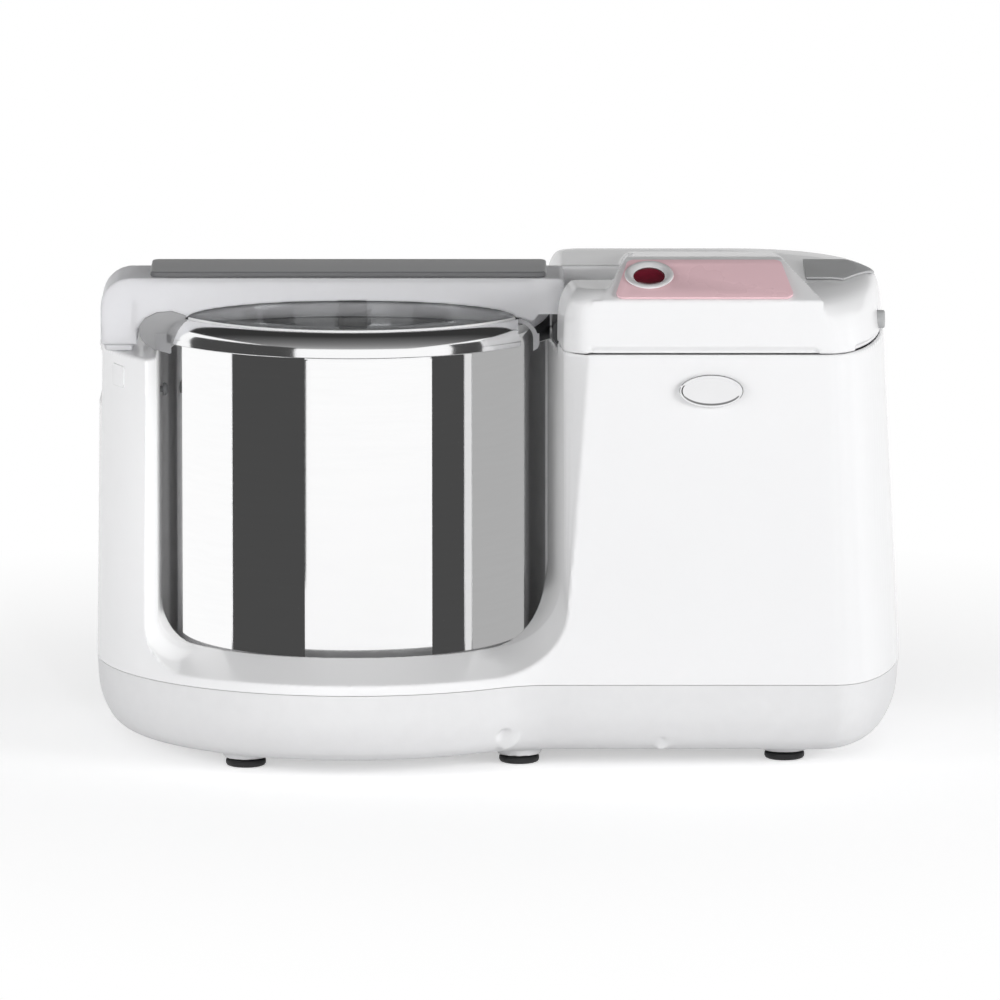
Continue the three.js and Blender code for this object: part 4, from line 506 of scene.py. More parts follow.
finish("chrome", (0.86, 0.86, 0.87), 0.07, metal=1, tone=0.02, patch=10, spread=0.03)
finish("ring_steel", (0.93, 0.93, 0.935), 0.3, metal=0.4, tone=0.02, patch=8)
finish("polished_steel", (0.97, 0.97, 0.973), 0.07, metal=1, tone=0.02, patch=30, spread=0.02,
       stretch=(1, 1, 12))
finish("plain_steel", (0.42, 0.43, 0.44), 0.35, metal=1, tone=0.06, patch=6, grain=0.01, grain_size=0.8)
finish("cast_aluminium", (0.48, 0.49, 0.5), 0.5, metal=1, tone=0.08, patch=5, grain=0.05, grain_size=1.2)
finish("copper", (0.45, 0.16, 0.07), 0.35, metal=1, tone=0.2, patch=2, grain=0.1, grain_size=0.8,
       stretch=(1, 1, 3))
finish("lamination", (0.16, 0.165, 0.175), 0.45, metal=0.8, tone=0.3, patch=3, grain=0.05,
       stretch=(0.1, 0.1, 6))
finish("granite", (0.12, 0.12, 0.125), 0.7, tone=0.5, patch=2.2, spread=0.1, grain=0.25, grain_size=1.6)

see_through(finish("lid_clear", (0.4, 0.405, 0.41), 0.04, tone=0.01, spread=0.02,
                   Transmission_Weight=1.0, IOR=1.46))
see_through(finish("frost_clear", (0.82, 0.82, 0.835), 0.4, tone=0.02, patch=30, spread=0.05,
                   Transmission_Weight=0.45, IOR=1.46))
finish("lid_rim", (0.95, 0.95, 0.955), 0.1, metal=1, tone=0.01, spread=0.02)
finish("lid_edge", (0.34, 0.34, 0.35), 0.4, metal=0.6, tone=0.06, patch=6)
# Grey for the sheet before the arm's left end: a painted reflection of the rim band.
finish("rim_reflection_sheet", (0.31, 0.31, 0.315), 0.22, tone=0.12, patch=14)
# White for the thin ring where the dome meets the rim: a painted highlight.
finish("lid_highlight_ring", (0.86, 0.86, 0.865), 0.2, tone=0.02, patch=20)
print("finishes:", len(looks))


def place(piece, body, slot, *nodes, look=None):
    """Gives a piece the finish of its slot, or look if given, puts it on its body and hides the solids that
    it stands for.
    """
    piece.data.materials.clear()
    piece.data.materials.append(looks[slot])
    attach(piece, body)
    if nodes:
        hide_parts(*nodes)
    if look:
        piece.data.materials[0] = looks[look]


def second_look(piece, look, chosen):
    """Gives the faces that chosen picks out another finish."""
    piece.data.materials.append(looks[look])
    for face in piece.data.polygons:
        if chosen(face):
            face.material_index = 1


# %% [markdown]
# ## The body's outline
#
# Seen from above, the base is a half circle under the drum, a hollow blend, a flat front under
# the tower, a bowed right end and a straight back. The same outline, drawn in by a few
# millimetres from level to level, gives both the rounded pan and the tapering body.

# %% Plan outline
FRONT_RADIUS = 128.5
REAR_DEPTH = 106.5
TOWER_FRONT = 97.6
TOWER_RIGHT = 273.5
BOW_DEPTH = 33.5
REAR_CORNER = 37.0
BLEND_RADIUS = 50.0
PAN_BOTTOM, SEAM_Z, SKIRT_TOP = 8.0, 43.0, 48.0
PILLAR_TOP, CAP_SEAM_Z = 202.5, 208.5
WELL_RADIUS, WELL_FLOOR, LIP_Z = 96.0, 47.0, 57.3
WALL = 3.0
ABOVE_ALL = 290
FINE_SIDES = 160


def body_outline(z, left=0.0, right=0.0, front=0.0, rear=0.0):
    """The body's plan at height z, drawn in on each side."""
    radius, face, back = FRONT_RADIUS - left, TOWER_FRONT - front, REAR_DEPTH - rear
    blend = BLEND_RADIUS + left
    bx, by = math.sqrt((radius + blend) ** 2 - (face + blend) ** 2), -(face + blend)
    meet = math.degrees(math.atan2(by, bx))
    corner = REAR_CORNER - left
    points = arc(0, 0, radius, 180, 360 + meet, 84)
    points += arc(bx, by, blend, 180 + meet, 90, 12)[1:]
    points += oval_arc(TOWER_RIGHT - BOW_DEPTH - right / 2, (back - face) / 2,
                       BOW_DEPTH - right / 2, (back + face) / 2, -90, 90, 48)
    points += arc(-radius + corner, back - corner, corner, 90, 180, 16)[:-1]
    return [(x, y, z) for x, y in points]


def steps_between(levels, count):
    """Rows of numbers through the given rows, evenly filled in between on a smooth curve."""
    filled = []
    for i in range(len(levels) - 1):
        before, low, high = levels[max(i - 1, 0)], levels[i], levels[i + 1]
        after = levels[min(i + 2, len(levels) - 1)]
        for s in range(count):
            t = s / count
            row = []
            for a, b, c, d in zip(before, low, high, after):
                square, cube = 2 * a - 5 * b + 4 * c - d, 3 * b - a - 3 * c + d
                row.append(0.5 * (2 * b + (c - a) * t + square * t * t + cube * t ** 3))
            filled.append(row)
    return filled + [list(levels[-1])]


def even(z, inset):
    """The body's plan at height z, drawn in by the same on every side."""
    return body_outline(z, inset, inset, inset, inset)


# %% [markdown]
# ## The base pan
#
# The pan is a shallow tray in a duller, finely grained white. It carries the feet, and two
# shallow round recesses show in its front: a drain by the middle foot and a smaller weep.

# %% Base pan
PAN_LEVELS = [(PAN_BOTTOM, 16), (9.6, 11.5), (14, 6.8), (22, 2.8), (30, 0.9), (45, 0)]
PAN_FLOOR, PAN_WALL = 10.5, 2.5
RECESSES = (("drain", 4.2, 76, 17.5), ("weep", 2.0, 153.5, 14))
RECESS_DEPTH, RECESS_RIM = 0.7, 2.5
PAN_VENT_X, PAN_VENT_STEP = 158, 12


def middle_of(name):
    """Where a solid stands on the plan, in millimetres from the drum's axis."""
    low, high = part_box(name)
    return ((low.x + high.x) / 2 - AXIS.x) / MM, ((low.y + high.y) / 2 - AXIS.y) / MM


def at_each(spots, name, profile, sides):
    """The same turned form at each spot."""
    return [turned(name, profile, sides, spot) for spot in spots]


def front_of(piece, x, z):
    """The y of a piece's front surface at x and z, in millimetres."""
    mesh = piece.data
    tree = BVHTree.FromPolygons([v.co for v in mesh.vertices], [tuple(f.vertices) for f in mesh.polygons])
    return (tree.ray_cast(home((x, -200, z)), Vector((0, 1, 0)))[0].y - AXIS.y) / MM


FEET = [middle_of(f"foot_{i}") for i in range(1, 7)]
SCREWS = [middle_of(f"base_screw_{i}") for i in range(1, 5)]

pan = loft("base_pan_shell", [even(z, inset) for z, inset in steps_between(PAN_LEVELS, 4)])
inner = [(PAN_FLOOR, 14)] + [(z, inset + PAN_WALL) for z, inset in PAN_LEVELS[2:-1]] + [(46, PAN_WALL)]
carve(pan, loft("pan_room", [even(z, inset) for z, inset in steps_between(inner, 2)]))
add(pan, *at_each(FEET, "foot_boss", [(0, 4.4), (11.3, 4.4), (11.8, 9), (11.8, 12), (0, 12)], 48))
add(pan, *at_each(SCREWS, "screw_boss", [(0, 9), (5, 9), (5, 42.6), (0, 42.6)], 24))
carve(pan, *at_each(FEET, "stem_hole", [(0, 3), (4.1, 3), (4.1, 14), (0, 14)], 24))
screw_hole = [(0, 0), (4.2, 0), (4.2, 13), (1.9, 13), (1.9, 50), (0, 50)]
carve(pan, *at_each(SCREWS, "screw_hole", screw_hole, 24))
for name, radius, x, z in RECESSES:
    face_y = front_of(pan, x, z)
    add(pan, bar_along_y(f"{name}_boss", radius + RECESS_RIM, x, z, face_y + 1.6, face_y + 6))
    carve(pan, bar_along_y(name, radius, x, z, -120, face_y + RECESS_DEPTH))
for i in range(5):
    vent_x = PAN_VENT_X + PAN_VENT_STEP * i
    carve(pan, block("vent", vent_x - 2, vent_x + 2, -30, 30, 0, 12))
moulded(pan, 1.1, 3, 190000)
smooth(carve(pan, slab("above_seam", SEAM_Z, 60)), 50)
place(pan, "housing", "pan_white", "base_pan")

# %% [markdown]
# Each foot is a short rubber puck on a stem, with a rounded rim so that it grips and doesn't
# mark the table. The same lathe profile makes all six.

# %% Feet
foot_profile = [(0, 0), (8.4, 0), (9.4, 0.4), (9.9, 1.2), (10, 2), (9.9, 3), (9.5, 3.5), (8.8, 3.7),
                (3.5, 3.7), (3.4, 13), (0, 13)]
for i, spot in enumerate(FEET, 1):
    foot = smooth(turned(f"rubber_foot_{i}", foot_profile, 64, spot))
    place(foot, "housing", "rubber_black", f"foot_{i}")

# %% [markdown]
# ## The housing
#
# The main shell is one moulding. It starts as the full outline, tapering a little upwards. Out
# of it come the round well of the drum and the wide front opening. The opening's cheeks lean
# and curve, so its tool is itself a loft, from front to back.

# %% Housing
DRAFT = dict(left=2.2, right=8.5, front=0.8, rear=1.5)
HOUSING_TOP = 208.2
PILLAR_EDGE, PILLAR_TURN_Y, PILLAR_TURN_LONG = 102.0, 66, 11
FACE_BACK_X, FACE_TOP_X, FACE_LOW_X, FACE_TURN = 97.5, 118.5, 107.0, 0.8
CAP_LEFT_FRONT, CAP_LEFT_REAR = 104.5, 97.3
COVE_LEFT, COVE_RIGHT, OPENING_BACK = 17.0, 33.0, 10.0
HINGE_X, HINGE_Z, BARREL_RADIUS, HINGE_ROOM = 107.5, 212.2, 8.2, 8.8
ARM_FRONT, ARM_REAR, CHANNEL_GAP = 50.0, 4.0, 1.2
CHANNEL_FRONT, CHANNEL_BACK = -ARM_FRONT - CHANNEL_GAP, -ARM_REAR + CHANNEL_GAP
SPINDLE_HOLE, VENT_Z, VENT_STEP, VENT_TALL = 18, 100, 10, 3.5


def ledge_z(radius):
    """Height of the sloping ledge before the drum, at a distance from its axis."""
    slope = (LIP_Z - SKIRT_TOP) / (FRONT_RADIUS - WELL_RADIUS)
    return LIP_Z - slope * max(0.0, radius - WELL_RADIUS)


def opening_section(y, grow):
    """Front view of the opening at depth y."""
    deep = clamp((-y - OPENING_BACK) / (TOWER_FRONT - OPENING_BACK))
    turn = ((deep - FACE_TURN) / (1 - FACE_TURN)) ** 2 if deep > FACE_TURN else 0.0
    pillar_turn = clamp((-y - PILLAR_TURN_Y) / PILLAR_TURN_LONG) ** 1.5
    left = -mix(WELL_RADIUS + 0.4, PILLAR_EDGE, pillar_turn) - grow
    front_x = CAP_LEFT_FRONT + 2
    top_x = mix(FACE_BACK_X, front_x, deep) + (FACE_TOP_X - front_x) * turn
    low_x = mix(FACE_BACK_X, FACE_LOW_X, deep)
    foot_left = ledge_z(math.hypot(left + COVE_LEFT, y)) - grow
    foot_right = ledge_z(math.hypot(low_x - COVE_RIGHT, y)) - grow
    outline = arc(left + COVE_LEFT, foot_left + COVE_LEFT, COVE_LEFT, 180, 270, 14)
    outline += [(left + COVE_LEFT + 6, SEAM_Z - 6), (low_x + grow - COVE_RIGHT - 6, SEAM_Z - 6)]
    outline += arc(low_x + grow - COVE_RIGHT, foot_right + COVE_RIGHT, COVE_RIGHT, 270, 360, 20)
    outline += [(top_x + grow, CAP_SEAM_Z), (top_x + grow, ABOVE_ALL), (left, ABOVE_ALL)]
    return [(x, y, z) for x, z in outline]


def front_opening(grow):
    """The room in front of the drum, as a tool."""
    depths = [-142, -110] + [-TOWER_FRONT + 1.6 * i for i in range(12)]
    depths += [-77.5, -75, -72, -69, -66, -56, -37, -22, -OPENING_BACK, 0]
    cheeks = loft("opening", [opening_section(y, grow) for y in depths])
    reach, top = 160, 300
    above = turned("above_ledge", [(0, LIP_Z - grow), (WELL_RADIUS - grow, LIP_Z - grow),
                                   (reach, ledge_z(reach) - grow), (reach, top), (0, top)], FINE_SIDES)
    return keep_inside(cheeks, above)


def hand_hold(grow):
    """The grip recess in the left end, as a tool."""
    return block("hand_hold", -150, -116.5 + grow, -19 - grow, 55 + grow, 172 - grow, 198 + grow)


def hinge_pocket(grow):
    """The room that the lid's hinge barrel turns in, as a tool."""
    return block("hinge_pocket", HINGE_X - 20.2, HINGE_X + HINGE_ROOM + grow, CHANNEL_FRONT - grow,
                 CHANNEL_BACK + grow, HINGE_Z - HINGE_ROOM - grow, ABOVE_ALL)


housing = loft("housing_shell", [body_outline(41), body_outline(SKIRT_TOP),
                                 body_outline(HOUSING_TOP, **DRAFT)])
inner_draft = {side: inset + WALL for side, inset in DRAFT.items()}
room = loft("housing_room", [even(40, WALL), even(SKIRT_TOP, WALL), body_outline(210, **inner_draft)])
carve(room, cylinder("well_wall", WELL_RADIUS + WALL, WELL_FLOOR - WALL, ABOVE_ALL, FINE_SIDES),
      front_opening(WALL), block("pillar_roof", -140, 100, -140, 120, PILLAR_TOP - WALL, ABOVE_ALL),
      hand_hold(WALL), hinge_pocket(WALL))
carve(housing, room, block("pillar_cut", -140, 97, -140, 120, PILLAR_TOP, ABOVE_ALL),
      cylinder("well", WELL_RADIUS, WELL_FLOOR, ABOVE_ALL, FINE_SIDES),
      front_opening(0), hand_hold(0), hinge_pocket(0), cylinder("spindle_hole", SPINDLE_HOLE, 30, 60))
for i in range(6):
    vent_z = VENT_Z + VENT_STEP * i
    carve(housing, block("vent", 150, 214, 94, 120, vent_z, vent_z + VENT_TALL))
moulded(housing, 1.2, 3, 195000)
smooth(carve(housing, slab("below_seam", 30, SEAM_Z + 0.3)), 50)
place(housing, "housing", "gloss_white", "main_housing")

# %% [markdown]
# ## The tower's cap
#
# The cap closes the tower and carries the console. Its edges are large soft rounds, so it is a
# stack of outlines that draw in more and more towards the top. The console is a wedge on it,
# wide at the front and narrower behind, whose slope faces the user.

# %% Tower cap
CAP_LEVELS = [(0, 0, 0, 0, 0, 0), (13.1, 0.2, 1.6, 0.2, 4, 0), (20.1, 1.2, 2.4, 0.4, 12, 5),
              (25.6, 3, 4.2, 1.3, 23.5, 17), (29, 5.2, 8, 6.6, 36, 37), (30.5, 7.2, 15, 12, 49.5, 58)]
CONSOLE_FRONT, CONSOLE_FOOT = -96.4, 234.8
CONSOLE_BREAK, CONSOLE_TOP = -63, 250.7
CONSOLE_ROWS = [(CONSOLE_FRONT, CONSOLE_FOOT, 119, 233), (CONSOLE_BREAK, CONSOLE_TOP, 130.5, 218),
                (-54, 251, 131.5, 217), (33, 241, 134, 214), (45, 238, 134, 214)]
CONSOLE_LOW, CONSOLE_SIDE, CONSOLE_ROOT = 236.5, 4, 225
SLOPE = math.atan2(CONSOLE_TOP - CONSOLE_FOOT, CONSOLE_BREAK - CONSOLE_FRONT)
CHANNEL_RIGHT, CHANNEL_FLOOR, CAP_WALL = 139.5, 211.8, 2.5
GROOVE_LOW, GROOVE_TOP, GROOVE_DEPTH = CAP_SEAM_Z - 3, CAP_SEAM_Z + 2.8, 1.5
BUTTON_SPOT, BUTTON_HOLE = (147, 20.3), 10
RESET_Y, RESET_Z, RESET_RADIUS = -36.0, 217.0, 4.5


def cap_outline(z, left, right, front, rear, bow, grow=0.0):
    """The cap's plan at height z, drawn in on each side."""
    face, back = TOWER_FRONT - 0.8 - front + grow, REAR_DEPTH - 1.5 - rear + grow
    left_rear, left_front = CAP_LEFT_REAR + left - grow, CAP_LEFT_FRONT + left - grow
    end, bow = TOWER_RIGHT - 8.5 - right + grow, BOW_DEPTH - 4.25 + bow
    corner = 13.5 - left * 0.5
    points = arc(left_front + corner, -face + corner, corner, 180, 270, 16)
    points += oval_arc(end - bow, (back - face) / 2, bow, (back + face) / 2, -90, 90, 56)
    points += arc(left_rear + corner, back - corner, corner, 90, 180, 14) + [(left_rear, 0)]
    return [(x, y, z) for x, y in points]


def cap_form(name, grow, lift):
    """The cap's outer form, moved out by grow and up by lift."""
    foot = -1 if grow else 0
    return loft(name, [cap_outline(CAP_SEAM_Z + row[0] + (lift if i else foot), *row[1:], grow)
                       for i, row in enumerate(steps_between(CAP_LEVELS, 4))])


def cap_band(name, grow, low, high):
    """The cap's lowest outline, moved out by grow, between two heights."""
    return loft(name, [cap_outline(z, 0, 0, 0, 0, 0, grow) for z in (low, high)])


def console_form(inset):
    """The wedge that carries the control panel, from front to back."""
    sections = []
    for y, z, x0, x1 in CONSOLE_ROWS:
        y, z, x0, x1 = max(y, CONSOLE_FRONT + inset), z - inset, x0 + inset, x1 - inset
        low = min(z, CONSOLE_LOW - inset)
        sections.append([(x0, y, CONSOLE_ROOT), (x1, y, CONSOLE_ROOT), (x1, y, low),
                         (x1 - CONSOLE_SIDE, y, z), (x0 + CONSOLE_SIDE, y, z), (x0, y, low)])
    return loft("console", sections)


def channel(grow):
    """The channel in the cap for the lid's arm, as a tool."""
    return block("channel", 77, CHANNEL_RIGHT + grow, CHANNEL_FRONT - grow, CHANNEL_BACK + grow,
                 CHANNEL_FLOOR - grow, ABOVE_ALL)


def onto_console(piece):
    """Moves a piece drawn flat (x right, y up the slope, z off it) onto the console."""
    foot = Matrix.Translation(Vector((0, CONSOLE_FRONT * MM, CONSOLE_FOOT * MM)))
    return moved(piece, foot @ Matrix.Rotation(SLOPE, 4, "X"))


cap = add(cap_form("cap_shell", 0, 0), console_form(0))
cap_room = add(cap_form("cap_room", -CAP_WALL, -CAP_WALL), console_form(CAP_WALL))
carve(cap_room, channel(CAP_WALL))
carve(cap, cap_room, channel(0), hinge_pocket(0), bar_along_y("pin_hole", 2.9, HINGE_X, HINGE_Z, -60, 6))
groove = carve(cap_band("groove", 6, GROOVE_LOW + 1, GROOVE_TOP),
               cap_band("groove_back", -GROOVE_DEPTH, GROOVE_LOW, GROOVE_TOP + 1))
slanted = [(115, GROOVE_LOW), (232, GROOVE_LOW), (229, GROOVE_TOP + 1), (119, GROOVE_TOP + 1)]
groove_zone = add(along_y("groove_front", slanted, -110, -90),
                  block("groove_side", 248.5, 285, -110, 76, GROOVE_LOW, GROOVE_TOP + 1))
carve(cap, keep_inside(groove, groove_zone))
carve(cap, onto_console(cylinder("button_hole", BUTTON_HOLE, -12, 8, 48, BUTTON_SPOT)))
carve(cap, bar_along_x("reset_hole", RESET_RADIUS + 0.35, RESET_Y, RESET_Z, 240, 280))
moulded(cap, 0.8, 4, 190000)
place(cap, "housing", "gloss_white", "tower_cap")

# %% [markdown]
# ## Panel, button and small parts
#
# The pink panel is a printed film on the console. A steel ring lies in it round a dished red
# button, which stands a little lower. These are small and crisp, so they are drawn with clean
# edges and a bevel and not remeshed.

# %% Control panel and button
PANEL_X, PANEL_CORNER = 174.25, 4.2
PANEL_HIGH, PANEL_HIGH_HALF = 30.5, 34.3
PANEL_LOW, PANEL_LOW_HALF = 5.5, 39.3

film_corners = ((PANEL_X + PANEL_HIGH_HALF, PANEL_HIGH, 0), (PANEL_X - PANEL_HIGH_HALF, PANEL_HIGH, 90),
                (PANEL_X - PANEL_LOW_HALF, PANEL_LOW, 180), (PANEL_X + PANEL_LOW_HALF, PANEL_LOW, 270))
film = [p for cx, cy, a in film_corners for p in arc(cx, cy, PANEL_CORNER, a, a + 90, 8)]
panel = plate("panel_film", film, 0.3, 1.5)
carve(panel, cylinder("ring_hole", BUTTON_HOLE - 0.1, -5, 5, 64, BUTTON_SPOT))
bevelled(panel, 0.35)
onto_console(panel)
place(panel, "housing", "panel_pink", "control_panel")

ring_profile = [(8.85, -9), (9.6, -9), (9.6, 1.7), (11.9, 1.7), (12.1, 2.0), (11.9, 2.4), (11.2, 2.8),
                (10.4, 2.9), (9.6, 2.7), (8.8, 2.2), (8.1, 1.6), (7.8, 1.3), (7.9, 1.05), (8.85, 0.95)]
ring = onto_console(smooth(turned("chrome_ring", ring_profile, 96, BUTTON_SPOT), 50))
place(ring, "housing", "chrome", "button_ring", look="ring_steel")
button_profile = [(0, -5), (8.5, -5), (8.5, 0.3), (8.3, 0.6), (7.8, 0.7), (7.2, 0.6), (6, 0.1),
                  (4, -0.3), (2, -0.48), (0, -0.52)]
button = onto_console(smooth(turned("start_cap", button_profile, 72, BUTTON_SPOT), 50))
place(button, "start_button", "button_red", "power_button")

# %% [markdown]
# The shelf pad is a grey inlay on the cap's flat top, pointed at its right end. It is a thin
# skin of the cap's own form, kept only inside an upright prism.

# %% Shelf pad, reset button and front plate
RESET_LONG = 10.6
PLATE_X, PLATE_Z, PLATE_HALF_WIDE, PLATE_HALF_TALL = 177.5, 190.5, 15.9, 8.25
PLATE_STEPS = [(0.4, 0.6), (0, 0.4), (0, -0.9), (0.25, -1.35), (0.7, -1.55), (1.2, -1.4), (1.6, -1.1),
               (2.4, -0.95)]

pad = cap_form("shelf_inlay", 1.3, 1.3)
pad_plan = [(225, -51.4), (244, -51.4), (260, -14), (247, 11.4), (225, 11.4)]
keep_inside(pad, plate("pad_zone", pad_plan, 230, 248))
carve(pad, cap_form("cap_skin", 0.3, 0.3))
moulded(pad, 0.3, 2, 60000)
place(pad, "housing", "pad_grey", "shelf_pad")

reset_end = (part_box("reset_button")[1].x - AXIS.x) / MM
reset = bar_along_x("reset_cap", RESET_RADIUS, RESET_Y, RESET_Z, reset_end - RESET_LONG, reset_end)
bevelled(reset, 1.0, 4)
place(reset, "reset", "pad_grey", "reset_button")


def plate_oval(inset, depth):
    """The front plate's outline, drawn in by inset and set back by depth."""
    outline = oval_arc(PLATE_X, PLATE_Z, PLATE_HALF_WIDE - inset, PLATE_HALF_TALL - inset, 0, 354, 59)
    return [(x, -TOWER_FRONT - 0.3 + depth, z) for x, z in outline]


badge = loft("front_plate_blank", [plate_oval(*step) for step in PLATE_STEPS])
place(smooth(badge, 60), "housing", "chrome", "front_plate")

# %% [markdown]
# The lid's latch is a small upright button in the left pillar, square to its round face. A
# rubber bumper in the well's wall keeps the drum from touching it.

# %% Latch and bumper
LATCH_TURN = math.pi + math.acos(PILLAR_EDGE / FRONT_RADIUS) * 0.64
LATCH_Z = 191
LATCH_RADIUS = FRONT_RADIUS - DRAFT["left"] * (LATCH_Z - SKIRT_TOP) / (CAP_SEAM_Z - SKIRT_TOP)
BUMPER_TURN, BUMPER_Z = math.radians(183), 177


def radial(piece, turn, z):
    """Turns a piece drawn flat (x across, y up, z outwards) to stand on the drum's axis."""
    across = Vector((-math.sin(turn), math.cos(turn), 0))
    out = Vector((math.cos(turn), math.sin(turn), 0))
    basis = Matrix((across, Vector((0, 0, 1)), out)).transposed().to_4x4()
    moved(piece, Matrix.Translation(Vector((0, 0, z * MM))) @ basis)


latch = plate("latch_cap", rounded_rect(14, 11, 1.8), LATCH_RADIUS - 4.6, LATCH_RADIUS + 0.6)
bevelled(latch, 0.5)
radial(latch, LATCH_TURN, LATCH_Z)
place(latch, "latch", "gloss_white", "latch_button")

bumper_profile = [(0, -101.5), (2.8, -101.5), (2.8, -97), (1.5, -96.8), (1.5, -95.2), (3.1, -95.2),
                  (3.3, -94.7), (3.2, -93.8), (2.6, -93), (1.4, -92.6), (0, -92.5)]
bumper = turned("gap_bumper", bumper_profile, 32)
moved(bumper, Matrix.Rotation(BUMPER_TURN - math.pi, 4, "Z")
      @ Matrix.Translation(Vector((0, 0, BUMPER_Z * MM))) @ Matrix.Rotation(math.pi / 2, 4, "Y"))
place(smooth(bumper), "housing", "rubber_black", "side_bumper", look="grip_shade_and_dark_rubber")

# %% [markdown]
# ## The drum
#
# The drum is spun from thin stainless sheet: a flat floor with a column in the middle, a round
# corner, a straight wall and a flared lip. Its profile is drawn once for the outside and once
# for the inside, and turned in fine steps, because a mirror finish shows every facet.

# %% Drum
DRUM_RADIUS, DRUM_WALL, DRUM_BOTTOM, DRUM_RIM = 88.4, 1.2, 53.0, 216.4
DRUM_CORNER, NECK_Z = 1.8, 204.3
POST_RADIUS, POST_TOP = 12.0, 97.2

corner_middle = (DRUM_RADIUS - DRUM_CORNER, DRUM_BOTTOM + DRUM_CORNER)
corner_out = arc(*corner_middle, DRUM_CORNER, 270, 360, 10)
corner_in = arc(*corner_middle, DRUM_CORNER - DRUM_WALL, 360, 270, 10)
flare_out = [(88.4, -1), (88.7, 0.6), (89.6, 2.4), (91, 4.6), (92.6, 6.8), (93.9, 8.8), (94.9, 10.4)]
flare_in = [(93.2, 10), (92, 8), (90.4, 6), (88.9, 4), (87.7, 2), (87.2, 0)]
rim_bead = [(95.3, DRUM_RIM - 1), (95.0, DRUM_RIM - 0.3), (94.3, DRUM_RIM), (93.6, DRUM_RIM - 0.5)]
post_in, post_under = POST_RADIUS - DRUM_WALL, POST_TOP - DRUM_WALL
profile = [(0, post_under), (POST_RADIUS - 2, post_under), (post_in, POST_TOP - 2), (post_in, DRUM_BOTTOM)]
profile += corner_out + [(r, NECK_Z + up) for r, up in flare_out] + rim_bead
profile += [(r, NECK_Z + up) for r, up in flare_in] + corner_in
profile += [(POST_RADIUS + 1.5, DRUM_BOTTOM + DRUM_WALL), (POST_RADIUS, DRUM_BOTTOM + 2.7),
            (POST_RADIUS, POST_TOP - 1), (POST_RADIUS - 1, POST_TOP), (0, POST_TOP)]
drum = smooth(turned("drum_bowl", profile, 192), 50)
place(drum, "drum", "polished_steel", "drum")

# %% [markdown]
# Low down and at its sides the drum mirrors the well instead of the cards. Glowing strips in
# the gap, seen in mirrors only, give it painted reflections there, so that the bands run on.
# These strips bend round the drum.

# %% Painted reflection strips in the gap
STRIP_RADIUS, STRIP_LOW, STRIP_HIGH, STRIP_STEPS = 93.0, 54, 203, 12


def reflection_strip(name, first, last, level):
    """A glowing strip round the drum that paints a reflection band, from first to last in degrees to the
    camera's right.
    """
    turns = [math.radians(mix(first, last, i / STRIP_STEPS)) for i in range(STRIP_STEPS + 1)]
    points = [(STRIP_RADIUS * math.sin(t), -STRIP_RADIUS * math.cos(t), z)
              for z in (STRIP_LOW, STRIP_HIGH) for t in turns]
    above = STRIP_STEPS + 1
    faces = [(i, i + 1, i + 1 + above, i + above) for i in range(STRIP_STEPS)]
    card_in(solid(name, points, faces), level)


# Painted reflections in the drum: a white band, two dark ones, a light line and a grey band.
reflection_strip("white_reflection_strip", -83, -45.2, 1.0)
reflection_strip("dark_reflection_strip_left", -44.6, -15.9, CARD_DARK)
reflection_strip("dark_reflection_strip_right", 28.3, 41.4, CARD_DARK)
reflection_strip("light_reflection_strip", 41.9, 44.8, 0.75)
reflection_strip("grey_reflection_strip", 45.2, 84, 0.42)

# %% [markdown]
# ## Stones
#
# The base stone lies in the drum and turns with it. The two rollers are short cones whose tips
# would meet on the drum's axis, so they roll on the flat stone without slipping. All three are
# dressed granite, and the finish gives them their coarse grain.

# %% Stones
CONE = math.radians(20)
SPREAD = math.tan(CONE)
TIP_Z = 70.3
AXLE_RADIUS = 5.3


def cone_place(piece, side):
    """Tilts a piece turned about an upright axis onto a roller's axle."""
    along = Vector((side * math.cos(CONE), 0, math.sin(CONE)))
    turn = Vector((0, 0, 1)).rotation_difference(along).to_matrix().to_4x4()
    return moved(piece, Matrix.Translation(Vector((0, 0, TIP_Z * MM))) @ turn)


def evenly(first, last, count):
    """Points evenly spaced from one point to another."""
    return [(mix(first[0], last[0], i / count), mix(first[1], last[1], i / count)) for i in range(count + 1)]


disc = [(12.6, 54.5), (73, 54.5)] + evenly((74, 55.4), (82, 63.4), 6)
disc += [(82, 67), (81.8, 68.6), (81.2, 69.6), (80.2, 70)] + evenly((79, 70), (13.4, 70), 20) + [(12.6, 69.4)]
place(smooth(turned("base_stone_disc", disc, 128)), "drum", "granite", "base_stone")

cone = [(AXLE_RADIUS, 24), (24 * SPREAD - 1, 24), (25 * SPREAD, 25)]
cone += evenly((26 * SPREAD, 26), (76 * SPREAD, 76), 16)
cone += [(77 * SPREAD - 0.4, 77), (78 * SPREAD - 1.8, 78), (12, 78), (11, 77.4), (AXLE_RADIUS, 77.4)]
nut = [(3.3, 79.3), (8.6, 79.3), (9, 79.8), (9, 81), (8.4, 82), (6.6, 83.3), (5.5, 83.5), (3.3, 83.5)]
for word, side in (("left", -1), ("right", 1)):
    roller = smooth(cone_place(turned(f"roller_{word}", cone, 96), side))
    place(roller, f"{word}_stone", "granite", f"roller_stone_{word}")
    end_nut = smooth(cone_place(turned(f"end_nut_{word}", nut, 48), side), 50)
    place(end_nut, "housing", "nylon_white", f"axle_nut_{word}")

holder = [(0, 97.8), (12.9, 97.8), (12.9, 70.6), (16.5, 70.6), (18, 71), (19, 72.6), (19, 98),
          (18.4, 100.4), (16.5, 103), (13, 104.6), (10, 106), (8, 108), (7, 110.5), (7, 187.6), (8, 188),
          (10.6, 188), (11, 188.5), (11, 190.5), (10.6, 191), (8, 191), (7, 191.4), (7, 223), (6.4, 224.8),
          (5, 226), (0, 226)]
hub = turned("stone_hub", holder, 72)
for side in (-1, 1):
    carve(hub, cone_place(cylinder("axle_bore", AXLE_RADIUS, 5, 40, 32), side))
place(smooth(hub, 35), "housing", "nylon_white", "stone_holder")
